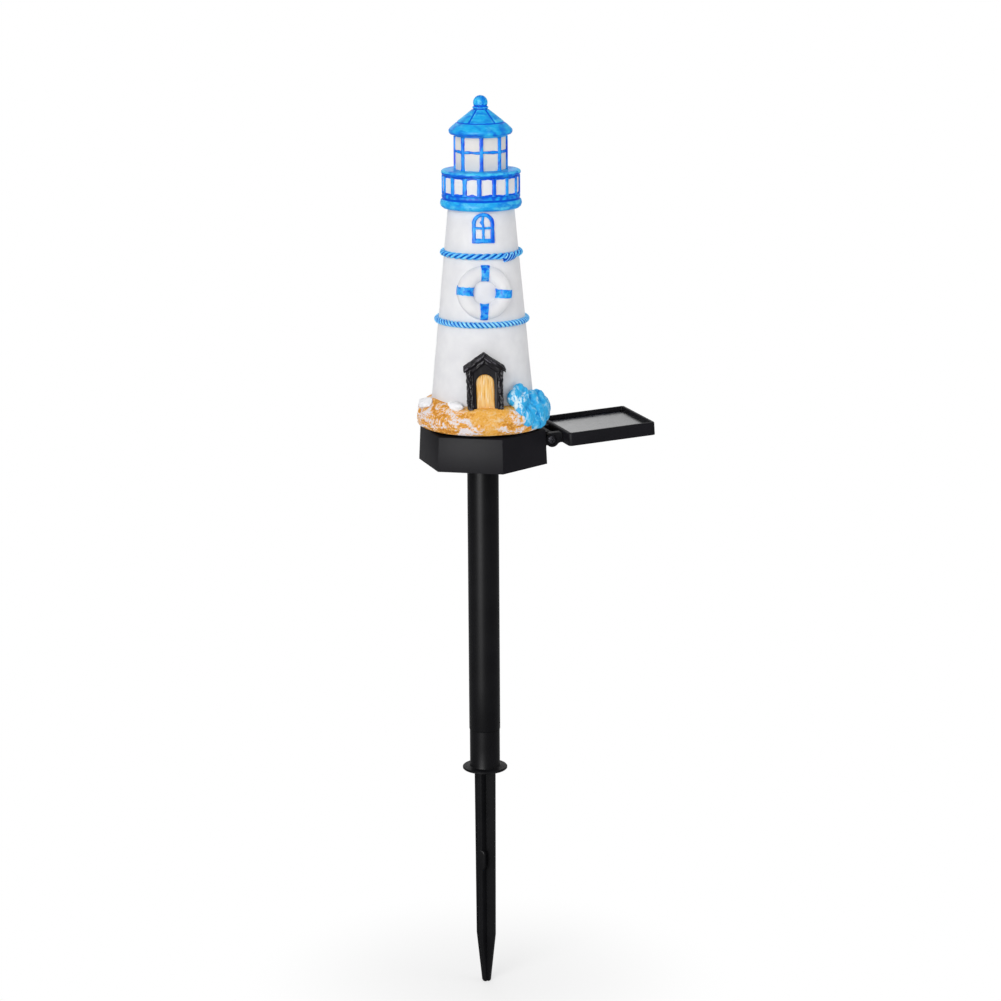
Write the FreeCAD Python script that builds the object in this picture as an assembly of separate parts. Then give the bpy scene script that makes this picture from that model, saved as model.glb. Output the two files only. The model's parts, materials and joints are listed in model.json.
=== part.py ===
# Solar lighthouse garden stake light, in millimetres and degrees, +Z up.
# z = 0 is the soil surface: the underside of the ground stake's flange, on the axis of the pole.
# +X points from the pole's axis to the solar panel's hinge.
import FreeCAD
import Part
import math
import os

from FreeCAD import Rotation, Vector

# ---------------------------------------------------------------- ground stake
flange_radius = 14.3
flange_thickness = 1.6
flange_edge_chamfer = 0.4
ferrule_radius = 9.6
ferrule_length = 25.0          # shows between the flange and the tube
ferrule_floor = 2.4
spike_length = 146.0           # below the flange
spike_point_length = 33.0      # the part of it that tapers to the tip
fin_thickness = 2.6
fin_reach_top = 7.2            # radius over the fins, under the flange
fin_reach_low = 6.6            # the same, where the point starts
fin_reach_tip = 2.7
fin_turn = -137.5              # direction of the fin that carries the ejector pad
pad_height = 14.0
pad_width = 6.4
pad_depth = 2.2
pad_drop = 61.0                # pad's centre, below the flange
pad_proud = 0.3                # of the fin's end

# ------------------------------------------------------------------------ pole
tube_length = 175.0
tube_radius = 9.9
tube_bore_radius = 8.4
tube_edge_chamfer = 0.4
spigot_length = 28.0
spigot_wall = 1.8
spigot_clearance = 0.08
spigot_lead_in = 0.8

# ------------------------------------------- hexagonal housing under the figure
housing_height = 22.0
housing_foot_apothem = 35.6
housing_top_apothem = 34.7
housing_wall = 2.0
housing_roof = 2.0
housing_edge_chamfer = 0.6
housing_rim_wall = 1.4         # left outside the cover's rebate
plinth_radius = 30.5
plinth_height = 1.5
cover_thickness = 2.4
cover_clearance = 0.12
gasket_thickness = 1.0
gasket_width = 1.0
corner_screw_circle = 33.2
corner_boss_radius = 3.2
corner_rib_width = 1.6
corner_screw_reach = 8.0       # into the boss

# ----------------------------------------------------------------------- screws
screw_radius = 1.4
screw_clearance = 0.06
screw_head_radius = 2.7
screw_head_height = 1.5
screw_crown_share = 0.7        # flat of a pan head, against its full radius
screw_sides = 10
pilot_end_room = 1.0           # hole left beyond a screw's tip
small_round_sides = 14         # flats round a small boss or hole
large_round_sides = 24         # flats round a wider one that nothing turns or slides in

# -------------------------------------------------------- circuit board and lamp
board_length = 27.0
board_width = 26.0
board_thickness = 1.6
board_start = -7.5             # edge beside the battery, along X
board_stand_off = 3.4
board_post_radius = 2.4
board_post_inset = 3.6
board_screw_radius = 0.9
board_screw_head_radius = 1.8
board_screw_head_height = 1.2
led_radius = 2.5
led_body_height = 6.2
led_rim_radius = 2.9
led_rim_height = 1.0
led_hole_clearance = 0.4
led_sides = 16
chip_length = 6.0
chip_width = 5.0
chip_height = 1.8

# ------------------------------------------------------------- battery and switch
battery_radius = 5.2
battery_length = 43.3
battery_cap_radius = 1.9
battery_cap_height = 1.0
battery_centre_x = -14.4
battery_gap = 0.1
holder_wall = 1.0
holder_floor = 1.2
holder_side_height = 5.6
contact_thickness = 0.3
contact_width = 6.0
contact_spring_depth = 2.4
switch_x = 6.0
switch_y = 22.5
switch_body_side = 9.0
switch_body_height = 6.0
switch_button_radius = 3.0
switch_button_clearance = 0.08
switch_travel = 1.0
switch_button_length = 4.4     # inside the cover and the switch body

# ------------------------------------------------------------------ panel hinge
pivot_stand_off = 6.2          # pivot's axis, outside the housing's face
pivot_height = 13.4            # above the housing's foot
hinge_radius = 4.4
hinge_span = 29.0              # over the outsides of the two ears
ear_thickness = 5.5
ear_fillet = 2.5
ear_side_clearance = 0.3
bolt_radius = 1.5
bolt_running_clearance = 0.08
bolt_head_radius = 2.8
bolt_head_height = 1.9
bolt_head_sink = 2.3
bolt_end_sink = 0.4
nut_across_flats = 5.5
nut_thickness = 2.4
nut_sink = 2.6
nut_clearance = 0.1
lead_hole_radius = 1.3

# ------------------------------------------------------------------ solar panel
tray_length = 57.5             # outwards from the hinge
tray_width = 57.0
tray_height = 8.1
tray_offset = 6.3              # from the pivot to the tray's near side
tray_drop = 2.0                # tray's underside, below the pivot
tray_rim = 2.0
tray_corner_radius = 2.4
tray_edge_chamfer = 0.5
tray_floor = 1.4
tray_ledge = 2.4
cell_sink = 2.4                # cell's face, below the rim
cell_thickness = 2.0
cell_clearance = 0.2
cell_corner_radius = 1.0
panel_rest_tilt = 3.5          # outer end up, as photographed

# ------------------------------------------------------------- figure: tower
figure_sides = 36              # flats round the parts turned about the tower's axis
figure_turn = -12.0            # the door's direction, from -Y
tower_height = 136.0
tower_foot_radius = 33.4
tower_top_radius = 20.5
tower_wall = 5.0
tower_top_thickness = 4.0
light_hole_radius = 9.0
figure_screw_circle = 26.4
figure_boss_radius = 3.6
figure_boss_height = 14.0
figure_screw_reach = 9.0

# ------------------------------------------------- figure: relief on the tower
rope_radius = 2.0
rope_proud = 2.6               # how far a rope stands out of the tower
upper_rope_drop = 27.2         # below the tower's top
life_ring_drop = 21.8          # middle, below the upper rope
lower_rope_drop = 19.3         # below the life ring's middle
life_ring_radius = 11.9        # to the middle of the tube
life_ring_tube_radius = 4.7
life_ring_sink = 1.0
life_ring_sides = 30
band_width = 5.2
band_thickness = 0.5
window_drop = 19.0             # foot, below the tower's top
window_height = 18.3
window_width = 13.4
window_bar = 1.9
window_muntin = 1.2
window_sill_height = 2.3
window_crossbar_height = 9.2
window_proud = 0.9

# ------------------------------------------------------------ figure: doorway
porch_foot_height = 17.0       # doorstep
porch_sink = 2.5               # posts, down into the rocks
porch_width = 21.8
porch_post_width = 4.4
porch_proud = 5.6              # post's face, out of the tower at the foot
porch_eaves_height = 42.0
porch_apex_height = 52.0
porch_eaves_width = 26.4
porch_board = 3.4              # height of the gable boards
porch_board_cut = 1.6          # taken off the boards' lower ends
porch_roof_overhang = 1.3
door_width = 11.0
door_height = 21.4
door_set_back = 2.4
door_plank_gap = 0.4

# --------------------------------------------------------- figure: rocky foot
rock_sides = 26
rock_foot_radius = 39.2
rock_belly_radius = 40.9
rock_belly_height = 7.5
rock_shoulder_radius = 38.0
rock_shoulder_height = 16.2
rock_top_height = 17.4
rock_foot_flare = 1.2
rock_shoulder_flare = 2.0
rock_roughness = 0.75
blue_rock_sides = 12
low_rock_out = 2.6             # a stone's centre, outside the tower's foot
low_rock_turn = -19.0          # its direction, from +X
low_rock_rise = -6.1           # its centre, above the rocky foot's top
low_rock_reach = (7.0, 7.2, 10.9)
high_rock_out = 1.0
high_rock_turn = -50.0
high_rock_rise = 3.0
high_rock_reach = (6.0, 6.2, 9.6)
stone_sides = 7
side_stone_out = 4.2
side_stone_turn = 187.0
side_stone_rise = -2.0
side_stone_reach = (3.8, 4.4, 3.0)
door_stone_out = 0.8
door_stone_turn = -122.0
door_stone_rise = 0.2
door_stone_reach = (4.4, 3.2, 2.8)

# -------------------------------------------------- figure: gallery and lantern
ring_radius = 25.2
ring_height = 6.2
ring_seat_radius = 21.6
ring_bevel = 1.3
ledge_radius = 24.2
ledge_height = 3.0
parapet_radius = 23.4          # over the drum's corners, where the posts stand
parapet_height = 11.1
parapet_wall = 4.0
post_count = 16
post_width = 2.4
post_proud = 0.7
post_turn = -7.9
deck_radius = 24.6
deck_height = 3.5
deck_edge_chamfer = 1.1
lantern_radius = 15.8          # over the room's corners, where the mullions stand
lantern_height = 20.2
lantern_wall = 2.2
mullion_count = 8
mullion_width = 2.0
mullion_proud = 0.8
mullion_turn = -4.0
crossbar_height = 1.7
crossbar_level = 10.4

# ------------------------------------------------------------- figure: roof
roof_height = 16.1
eaves_radius = 19.7
eaves_height = 4.2             # widest level, above the roof's foot
eaves_foot_radius = 16.9
eaves_bevel = 0.8
seam_radius = 14.9
seam_level = 8.5
roof_neck_radius = 5.3
roof_shell = 3.4
seam_count = 6
seam_turn = 28.5
seam_width = 0.6
seam_depth = 0.45
collar_radius = 4.9
collar_height = 2.4
collar_waist_radius = 4.1
ball_radius = 4.45
finial_sides = 20
ball_steps = 6                 # levels from the ball's waist to its tip
ball_tip_share = 0.12          # flat at the ball's top

# ------------------------------------------------------------ levels in common
tube_foot_z = flange_thickness + ferrule_length
housing_foot_z = tube_foot_z + tube_length
cover_top_z = housing_foot_z + cover_thickness
housing_top_z = housing_foot_z + housing_height
housing_ceiling_z = housing_top_z - housing_roof
figure_foot_z = housing_top_z + plinth_height
board_top_z = housing_ceiling_z - board_stand_off
pivot_z = housing_foot_z + pivot_height
# The housing's sides lean in by the draft, so its face is found at the pivot's level.
draft = (housing_foot_apothem - housing_top_apothem) / housing_height
pivot_x = housing_foot_apothem - draft * pivot_height + pivot_stand_off
spigot_radius = tube_bore_radius - spigot_clearance
cavity_apothem = housing_top_apothem - housing_wall
rebate_apothem = housing_foot_apothem - housing_rim_wall
cover_apothem = rebate_apothem - cover_clearance
upper_rope_height = tower_height - upper_rope_drop
life_ring_height = upper_rope_height - life_ring_drop
lower_rope_height = life_ring_height - lower_rope_drop
window_foot_height = tower_height - window_drop

UP = Vector(0, 0, 1)
ALONG_X = Vector(1, 0, 0)
ALONG_Y = Vector(0, 1, 0)
HEX_ANGLES = [30 + 60 * k for k in range(6)]
SCREW_CORNERS = HEX_ANGLES[::2]


# -------------------------------------------------------------------- helpers
def polar(radius, angle, z=0.0):
    return Vector(radius * math.cos(math.radians(angle)), radius * math.sin(math.radians(angle)), z)


def cylinder(radius, low, high, x=0.0, y=0.0):
    return Part.makeCylinder(radius, high - low, Vector(x, y, low))


def bar_along_y(radius, start, end, x, z):
    return Part.makeCylinder(radius, end - start, Vector(x, start, z), ALONG_Y)


def block(low, high):
    return Part.makeBox(high[0] - low[0], high[1] - low[1], high[2] - low[2], Vector(*low))


def flat_face(corners):
    return Part.Face(Part.makePolygon(list(corners) + [corners[0]]))


def skinned(levels):
    """A solid with flat sides through rings of as many corners, with a flat top and bottom."""
    count = len(levels[0])
    faces = [flat_face(levels[0]), flat_face(levels[-1])]
    for low, high in zip(levels, levels[1:]):
        for k in range(count):
            n = (k + 1) % count
            faces.append(flat_face((low[k], low[n], high[n], high[k])))
    solid = Part.makeSolid(Part.makeShell(faces))
    return solid if solid.Volume > 0 else solid.reversed()


def lathe(outline, sides, start=0.0):
    """A many-sided turned solid with a flat top and bottom, from (radius, z) corners that go up."""
    return skinned([[polar(r, start + 360.0 * k / sides, z) for k in range(sides)] for r, z in outline])


def small_round(radius, low, high, x=0.0, y=0.0, sides=small_round_sides):
    """A small upright boss or hole with flat sides that lie at radius from its axis."""
    corner = radius / math.cos(math.pi / sides)
    shape = lathe([(corner, low), (corner, high)], sides)
    shape.translate(Vector(x, y, 0))
    return shape


def small_round_along_y(radius, start, end, x, z, sides=small_round_sides):
    shape = small_round(radius, start, end, sides=sides)
    shape.rotate(Vector(0, 0, 0), ALONG_X, -90)
    shape.translate(Vector(x, 0, z))
    return shape


def hex_tower(levels):
    """A six-sided solid from (apothem, z) levels, with a flat side towards +X."""
    to_corner = 1 / math.cos(math.radians(30))
    return lathe([(apothem * to_corner, z) for apothem, z in levels], 6, HEX_ANGLES[0])


def hex_prism(apothem, low, high):
    return hex_tower([(apothem, low), (apothem, high)])


def union(shapes):
    first, rest = shapes[0], shapes[1:]
    return first.fuse(rest).removeSplitter() if rest else first


def turned(shape, angle):
    copy = shape.copy()
    copy.rotate(Vector(0, 0, 0), UP, angle)
    return copy


def around(shape, count, start=0.0):
    return [turned(shape, start + 360.0 * k / count) for k in range(count)]


def revolved(outline):
    """A solid of revolution about Z from its half section's (radius, z) corners."""
    corners = [Vector(r, 0, z) for r, z in outline]
    return Part.Face(Part.makePolygon(corners + corners[:1])).revolve(Vector(0, 0, 0), UP, 360)


def prism_along_y(wire, start, end):
    solid = Part.Face(wire).extrude(Vector(0, end - start, 0))
    solid.translate(Vector(0, start, 0))
    return solid


def outline_xz(points):
    corners = [Vector(x, 0, z) for x, z in points]
    return Part.makePolygon(corners + corners[:1])


def edges_where(shape, test):
    return [edge for edge in shape.Edges if test(edge)]


def is_upright(edge):
    ends = [v.Point for v in edge.Vertexes]
    return len(ends) == 2 and abs(ends[0].z - ends[1].z) > 0.8 * (ends[0] - ends[1]).Length


def pan_screw(x, y, head_low, head_radius, head_height, shank_radius, tip):
    """A screw whose head hangs down at z = head_low and whose shank goes up to z = tip."""
    head_high = head_low + head_height
    crown = head_radius * screw_crown_share
    head = lathe([(crown, head_low), (head_radius, head_low + head_height / 2), (head_radius, head_high)],
                 screw_sides)
    screw = head.fuse(lathe([(shank_radius, head_high), (shank_radius, tip)], screw_sides)).removeSplitter()
    screw.translate(Vector(x, y, 0))
    return screw


parts = {}


def keep(name, shape):
    parts[name] = shape


# ---------------------------------------------------------------- ground stake
def fin_section(reach, z):
    """The outline of four crossed fins at one level."""
    half = fin_thickness / 2
    corners = []
    for k in range(4):
        for x, y in ((reach, -half), (reach, half), (half, half)):
            corners.append(Rotation(UP, 90 * k).multVec(Vector(x, y, z)))
    return corners


def ground_stake():
    point_z = spike_point_length - spike_length
    spike = skinned([fin_section(fin_reach_tip, -spike_length), fin_section(fin_reach_low, point_z),
                     fin_section(fin_reach_top, 0)])
    half_run = (pad_height - pad_width) / 2
    ends = [Part.makeCylinder(pad_width / 2, pad_depth, Vector(0, 0, z), ALONG_X) for z in (-half_run, half_run)]
    pad = union(ends + [block((0, -pad_width / 2, -half_run), (pad_depth, pad_width / 2, half_run))])
    pad_face = fin_reach_top - (fin_reach_top - fin_reach_low) * pad_drop / -point_z
    pad.translate(Vector(pad_face - pad_depth + pad_proud, 0, -pad_drop))
    spike = turned(union([spike, pad]), fin_turn)

    edge = flange_radius - flange_edge_chamfer
    flange = lathe([
        (edge, 0), (flange_radius, flange_edge_chamfer),
        (flange_radius, flange_thickness - flange_edge_chamfer), (edge, flange_thickness)], figure_sides)
    body_top = tube_foot_z
    body = cylinder(ferrule_radius, flange_thickness / 2, body_top)
    spigot_top = body_top + spigot_length
    spigot = revolved([
        (0, body_top - ferrule_floor), (spigot_radius, body_top - ferrule_floor),
        (spigot_radius, spigot_top - spigot_lead_in),
        (spigot_radius - spigot_lead_in / 2, spigot_top), (0, spigot_top)])
    bore = small_round(spigot_radius - spigot_wall, flange_thickness + ferrule_floor, spigot_top,
                       sides=large_round_sides)
    return union([flange, body, spigot]).cut(bore).fuse(spike).removeSplitter()


# ------------------------------------------------------------------------ pole
def pole_tube():
    return revolved([
        (tube_bore_radius, tube_foot_z), (tube_radius - tube_edge_chamfer, tube_foot_z),
        (tube_radius, tube_foot_z + tube_edge_chamfer), (tube_radius, housing_foot_z),
        (tube_bore_radius, housing_foot_z)])


# ------------------------------------------------------------------ base housing
def knuckle_outline():
    """The housing's half of the hinge, from the side: a round end on an arm from the housing's wall."""
    root = cavity_apothem + housing_wall / 2 - pivot_x
    r = hinge_radius
    edges = [
        Part.makeLine(Vector(root, 0, r), Vector(0, 0, r)),
        Part.Arc(Vector(0, 0, r), Vector(r, 0, 0), Vector(0, 0, -r)).toShape(),
        Part.makeLine(Vector(0, 0, -r), Vector(root, 0, -r)),
        Part.makeLine(Vector(root, 0, -r), Vector(root, 0, r)),
    ]
    return Part.Wire(edges)


def ear_outline():
    """One ear of the tray, from the side: a round end that runs into the tray with a fillet below."""
    r, f, low = hinge_radius, ear_fillet, tray_drop
    centre_x = math.sqrt((r + f) ** 2 - (low + f) ** 2)
    centre = Vector(centre_x, 0, -low - f)
    on_boss = centre * (r / (r + f))
    to_boss = (on_boss - centre).normalize()
    middle = centre + (to_boss + UP).normalize() * f
    root = tray_offset + tray_rim / 2
    edges = [
        Part.makeLine(Vector(0, 0, r), Vector(root, 0, r)),
        Part.makeLine(Vector(root, 0, r), Vector(root, 0, -low)),
        Part.makeLine(Vector(root, 0, -low), Vector(centre_x, 0, -low)),
        Part.Arc(Vector(centre_x, 0, -low), middle, on_boss).toShape(),
        Part.Arc(on_boss, Vector(-r, 0, 0), Vector(0, 0, r)).toShape(),
    ]
    return Part.Wire(edges)


def at_pivot(shape):
    shape.translate(Vector(pivot_x, 0, pivot_z))
    return shape


def figure_screw_places():
    return [polar(figure_screw_circle, figure_turn + 30 + 120 * k) for k in range(3)]


def corner_screw_places():
    return [polar(corner_screw_circle, a) for a in SCREW_CORNERS]


def board_post_places():
    far = board_start + board_length - board_post_inset
    side = board_width / 2 - board_post_inset
    return [Vector(far, side, 0), Vector(board_start + board_post_inset, -side, 0)]


def housing():
    edge = housing_edge_chamfer
    shell = hex_tower([(housing_foot_apothem, housing_foot_z), (housing_top_apothem, housing_top_z - edge),
                       (housing_top_apothem - edge, housing_top_z)])
    rebate_top = cover_top_z + gasket_thickness
    hollow = [
        hex_prism(cavity_apothem, housing_foot_z, housing_ceiling_z),
        hex_prism(rebate_apothem, housing_foot_z, rebate_top),
    ]
    shell = shell.cut(hollow)
    added = [lathe([(plinth_radius, housing_top_z - housing_roof / 2), (plinth_radius, figure_foot_z)],
                   figure_sides)]
    inner_corner = cavity_apothem / math.cos(math.radians(30))
    for angle, place in zip(SCREW_CORNERS, corner_screw_places()):
        added.append(small_round(corner_boss_radius, cover_top_z, housing_ceiling_z, place.x, place.y))
        rib = block((corner_screw_circle, -corner_rib_width / 2, rebate_top),
                    (inner_corner, corner_rib_width / 2, housing_ceiling_z))
        added.append(turned(rib, angle))
    for place in board_post_places():
        added.append(small_round(board_post_radius, board_top_z, housing_ceiling_z, place.x, place.y))
    reach = hinge_span / 2 - ear_thickness - ear_side_clearance
    added.append(at_pivot(prism_along_y(knuckle_outline(), -reach, reach)))
    shell = shell.fuse(added).removeSplitter()

    cuts = [small_round(led_rim_radius + led_hole_clearance, board_top_z, figure_foot_z)]
    for place in corner_screw_places():
        pilot_top = cover_top_z + corner_screw_reach + pilot_end_room
        cuts.append(small_round(screw_radius + screw_clearance, cover_top_z, pilot_top, place.x, place.y))
    for place in figure_screw_places():
        cuts.append(small_round(screw_radius + screw_clearance, housing_ceiling_z, figure_foot_z,
                                place.x, place.y))
    for place in board_post_places():
        cuts.append(small_round(board_screw_radius + screw_clearance, board_top_z, housing_ceiling_z,
                                place.x, place.y))
    cuts.append(bar_along_y(bolt_radius + bolt_running_clearance, -reach, reach, pivot_x, pivot_z))
    lead = Part.makeCylinder(lead_hole_radius, pivot_stand_off + housing_wall,
                             Vector(cavity_apothem - housing_wall, reach + lead_hole_radius * 2, pivot_z),
                             ALONG_X)
    cuts.append(lead)
    return shell.cut(cuts)


def base_cover():
    plate = hex_prism(cover_apothem, housing_foot_z, cover_top_z)
    spigot_low = housing_foot_z - spigot_length
    spigot = revolved([
        (0, cover_top_z), (0, spigot_low), (spigot_radius - spigot_lead_in / 2, spigot_low),
        (spigot_radius, spigot_low + spigot_lead_in), (spigot_radius, cover_top_z)])
    bore = small_round(spigot_radius - spigot_wall, spigot_low, housing_foot_z, sides=large_round_sides)
    cuts = [bore, cylinder(switch_button_radius + switch_button_clearance,
                           housing_foot_z, cover_top_z, switch_x, switch_y)]
    for place in corner_screw_places():
        cuts.append(small_round(screw_radius + screw_clearance, housing_foot_z, cover_top_z,
                                place.x, place.y))
        cuts.append(small_round(screw_head_radius + screw_clearance, housing_foot_z,
                                housing_foot_z + screw_head_height, place.x, place.y))
    return plate.fuse(spigot).removeSplitter().cut(cuts)


def base_gasket():
    low, high = cover_top_z, cover_top_z + gasket_thickness
    return hex_prism(cover_apothem, low, high).cut(hex_prism(cover_apothem - gasket_width, low, high))


def cover_screws():
    tip = cover_top_z + corner_screw_reach
    return Part.makeCompound([
        pan_screw(p.x, p.y, housing_foot_z, screw_head_radius, screw_head_height, screw_radius, tip)
        for p in corner_screw_places()])


def figure_screws():
    tip = figure_foot_z + figure_screw_reach
    low = housing_ceiling_z - screw_head_height
    return Part.makeCompound([
        pan_screw(p.x, p.y, low, screw_head_radius, screw_head_height, screw_radius, tip)
        for p in figure_screw_places()])


def circuit_board():
    low = board_top_z - board_thickness
    board = block((board_start, -board_width / 2, low),
                  (board_start + board_length, board_width / 2, board_top_z))
    holes = [small_round(board_screw_radius + screw_clearance, low, board_top_z, p.x, p.y)
             for p in board_post_places()]
    chip = block((chip_length, -chip_width / 2, low - chip_height),
                 (2 * chip_length, chip_width / 2, low))
    return board.cut(holes).fuse(chip).removeSplitter()


def board_screws():
    low = board_top_z - board_thickness - board_screw_head_height
    return Part.makeCompound([
        pan_screw(p.x, p.y, low, board_screw_head_radius, board_screw_head_height,
                  board_screw_radius, housing_ceiling_z)
        for p in board_post_places()])


def lamp_led():
    rim_top = board_top_z + led_rim_height
    top = rim_top + led_body_height
    rim = lathe([(led_rim_radius, board_top_z), (led_rim_radius, rim_top)], led_sides)
    outline = [(led_radius, rim_top)]
    for angle in (0, 30, 60, 80):
        outline.append((led_radius * math.cos(math.radians(angle)),
                        top - led_radius + led_radius * math.sin(math.radians(angle))))
    return rim.fuse(lathe(outline, led_sides)).removeSplitter()


# -------------------------------------------------------------- battery and switch
battery_z = cover_top_z + holder_floor + battery_radius + battery_gap
battery_half = battery_length / 2
spring_end = -battery_half - battery_gap - contact_spring_depth
plate_end = battery_half + battery_cap_height + battery_gap


def battery_holder():
    half = battery_radius + battery_gap + holder_wall
    low_y = spring_end - contact_thickness - battery_gap - holder_wall
    high_y = plate_end + contact_thickness + battery_gap + holder_wall
    top = cover_top_z + holder_floor + holder_side_height
    end_top = battery_z + battery_radius
    outer = block((battery_centre_x - half, low_y, cover_top_z), (battery_centre_x + half, high_y, top))
    ends = [
        block((battery_centre_x - half, low_y, cover_top_z),
              (battery_centre_x + half, low_y + holder_wall, end_top)),
        block((battery_centre_x - half, high_y - holder_wall, cover_top_z),
              (battery_centre_x + half, high_y, end_top)),
    ]
    inside = block((battery_centre_x - half + holder_wall, low_y + holder_wall,
                    cover_top_z + holder_floor),
                   (battery_centre_x + half - holder_wall, high_y - holder_wall, end_top))
    return union([outer] + ends).cut(inside)


def battery_cell():
    can = small_round_along_y(battery_radius, -battery_half, battery_half, battery_centre_x, battery_z,
                              large_round_sides)
    cap = small_round_along_y(battery_cap_radius, battery_half, battery_half + battery_cap_height,
                              battery_centre_x, battery_z)
    return can.fuse(cap).removeSplitter()


def negative_contact():
    """A folded leaf: an upright back, then a blade that leans out to the battery's flat end."""
    back = spring_end
    low, high = battery_z - battery_radius * 0.8, battery_z + battery_radius * 0.8
    front = -battery_half - battery_gap
    t = contact_thickness
    points = [(back - t, low), (back - t, high), (back, high), (front, battery_z + t),
              (front, battery_z - t), (front - t, battery_z - t), (back, high - 2 * t), (back, low)]
    corners = [Vector(battery_centre_x - contact_width / 2, y, z) for y, z in points]
    face = Part.Face(Part.makePolygon(corners + corners[:1]))
    return face.extrude(Vector(contact_width, 0, 0))


def positive_contact():
    half = contact_width / 2
    return block((battery_centre_x - half, plate_end, battery_z - battery_radius * 0.8),
                 (battery_centre_x + half, plate_end + contact_thickness, battery_z + battery_radius * 0.8))


def switch_body():
    half = switch_body_side / 2
    body = block((switch_x - half, switch_y - half, cover_top_z),
                 (switch_x + half, switch_y + half, cover_top_z + switch_body_height))
    well = cylinder(switch_button_radius + switch_button_clearance, cover_top_z,
                    housing_foot_z + switch_button_length + switch_travel + switch_button_clearance,
                    switch_x, switch_y)
    return body.cut(well)


def switch_button():
    low = housing_foot_z - switch_travel
    button = cylinder(switch_button_radius, low, housing_foot_z + switch_button_length,
                      switch_x, switch_y)
    rim = edges_where(button, lambda e: e.Closed and e.Vertexes[0].Point.z < low + 0.01)
    return button.makeChamfer(switch_travel / 2, rim)


# ------------------------------------------------------------------ solar panel
def tray_box(inset, low, high, corner):
    """An upright box in the tray's outline, brought in by inset, with rounded corners."""
    half = tray_width / 2 - inset
    box = block((tray_offset + inset, -half, low), (tray_offset + tray_length - inset, half, high))
    return box.makeFillet(corner, edges_where(box, is_upright)) if corner > 0 else box


def panel_tray():
    low, high = -tray_drop, tray_height - tray_drop
    tray = tray_box(0, low, high, tray_corner_radius)
    tray = tray.makeChamfer(tray_edge_chamfer, edges_where(
        tray, lambda e: min(v.Point.z for v in e.Vertexes) > high - 0.01))
    cell_low = high - cell_sink - cell_thickness
    tray = tray.cut([
        tray_box(tray_rim, cell_low, high + 1, cell_corner_radius),
        tray_box(tray_rim + tray_ledge, low + tray_floor, cell_low + 1, 0),
    ])
    ears = []
    for side in (-1, 1):
        outer = side * hinge_span / 2
        inner = side * (hinge_span / 2 - ear_thickness)
        ears.append(prism_along_y(ear_outline(), min(outer, inner), max(outer, inner)))
    tray = tray.fuse(ears).removeSplitter()
    front = -hinge_span / 2
    back = hinge_span / 2
    nut_hole = nut_prism(nut_across_flats + 2 * nut_clearance, back - nut_sink, back)
    cuts = [
        bar_along_y(bolt_radius + bolt_running_clearance, front, back, 0, 0),
        small_round_along_y(bolt_head_radius + nut_clearance, front, front + bolt_head_sink, 0, 0),
        nut_hole,
        Part.makeCylinder(lead_hole_radius, tray_rim + tray_ledge,
                          Vector(tray_offset, 0, low + tray_floor + lead_hole_radius), ALONG_X),
    ]
    return tray.cut(cuts)


def nut_prism(across_flats, start, end):
    radius = across_flats / 2 / math.cos(math.radians(30))
    corners = [Vector(radius * math.cos(math.radians(60 * k)), start, radius * math.sin(math.radians(60 * k)))
               for k in range(6)]
    return Part.Face(Part.makePolygon(corners + corners[:1])).extrude(Vector(0, end - start, 0))


def solar_cell():
    high = tray_height - tray_drop - cell_sink
    return tray_box(tray_rim + cell_clearance, high - cell_thickness, high,
                    cell_corner_radius - cell_clearance)


def hinge_bolt():
    seat = -hinge_span / 2 + bolt_head_sink
    head = bar_along_y(bolt_head_radius, seat - bolt_head_height, seat, 0, 0)
    shank = bar_along_y(bolt_radius, seat, hinge_span / 2 - bolt_end_sink, 0, 0)
    return head.fuse(shank).removeSplitter()


def hinge_nut():
    start = hinge_span / 2 - nut_sink
    nut = nut_prism(nut_across_flats, start, start + nut_thickness)
    return nut.cut(bar_along_y(bolt_radius + screw_clearance, start, start + nut_thickness, 0, 0))


def placed_panel(shape):
    """Tilts a piece of the panel to its photographed pose and puts it on the hinge."""
    shape.rotate(Vector(0, 0, 0), ALONG_Y, -panel_rest_tilt)
    return at_pivot(shape)


# --------------------------------------------------------------------- figure
# The figure is modelled with its door towards -Y and its foot at z = 0, and then turned and lifted.
tower_slope = (tower_foot_radius - tower_top_radius) / tower_height
ring_z = tower_height
ledge_z = ring_z + ring_height
parapet_z = ledge_z + ledge_height
deck_z = parapet_z + parapet_height
lantern_z = deck_z + deck_height
roof_z = lantern_z + lantern_height
collar_z = roof_z + roof_height
ball_z = collar_z + collar_height + math.sqrt(ball_radius ** 2 - collar_waist_radius ** 2)


def placed_figure(shape):
    shape.rotate(Vector(0, 0, 0), UP, figure_turn)
    shape.translate(Vector(0, 0, figure_foot_z))
    return shape


def tower_radius(z):
    return tower_foot_radius - tower_slope * z


def tower_cone(offset, low=0.0, high=tower_height):
    return lathe([(tower_radius(low) + offset, low), (tower_radius(high) + offset, high)], figure_sides)


def light_hole(low, high):
    return small_round(light_hole_radius, low, high, sides=large_round_sides)


def tower():
    hollow_top = tower_height - tower_top_thickness
    shell = tower_cone(0).cut([
        tower_cone(-tower_wall, 0, hollow_top), light_hole(hollow_top, tower_height)])
    bosses, holes = [], []
    for k in range(3):
        place = polar(figure_screw_circle, 30 + 120 * k)
        bosses.append(small_round(figure_boss_radius, 0, figure_boss_height, place.x, place.y))
        holes.append(small_round(screw_radius + screw_clearance, 0, figure_screw_reach + pilot_end_room,
                                 place.x, place.y))
    return shell.fuse(bosses).removeSplitter().cut(holes)


def rope_ring(height):
    """A rope round the tower: a six-sided ring, cut to sit on the wall."""
    centre = tower_radius(height) + rope_proud - rope_radius
    side = rope_radius * math.cos(math.radians(30))
    ring = lathe([(centre, height - rope_radius), (centre + side, height - rope_radius / 2),
                  (centre + side, height + rope_radius / 2), (centre, height + rope_radius)], figure_sides)
    return ring.cut(tower_cone(0))


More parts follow.
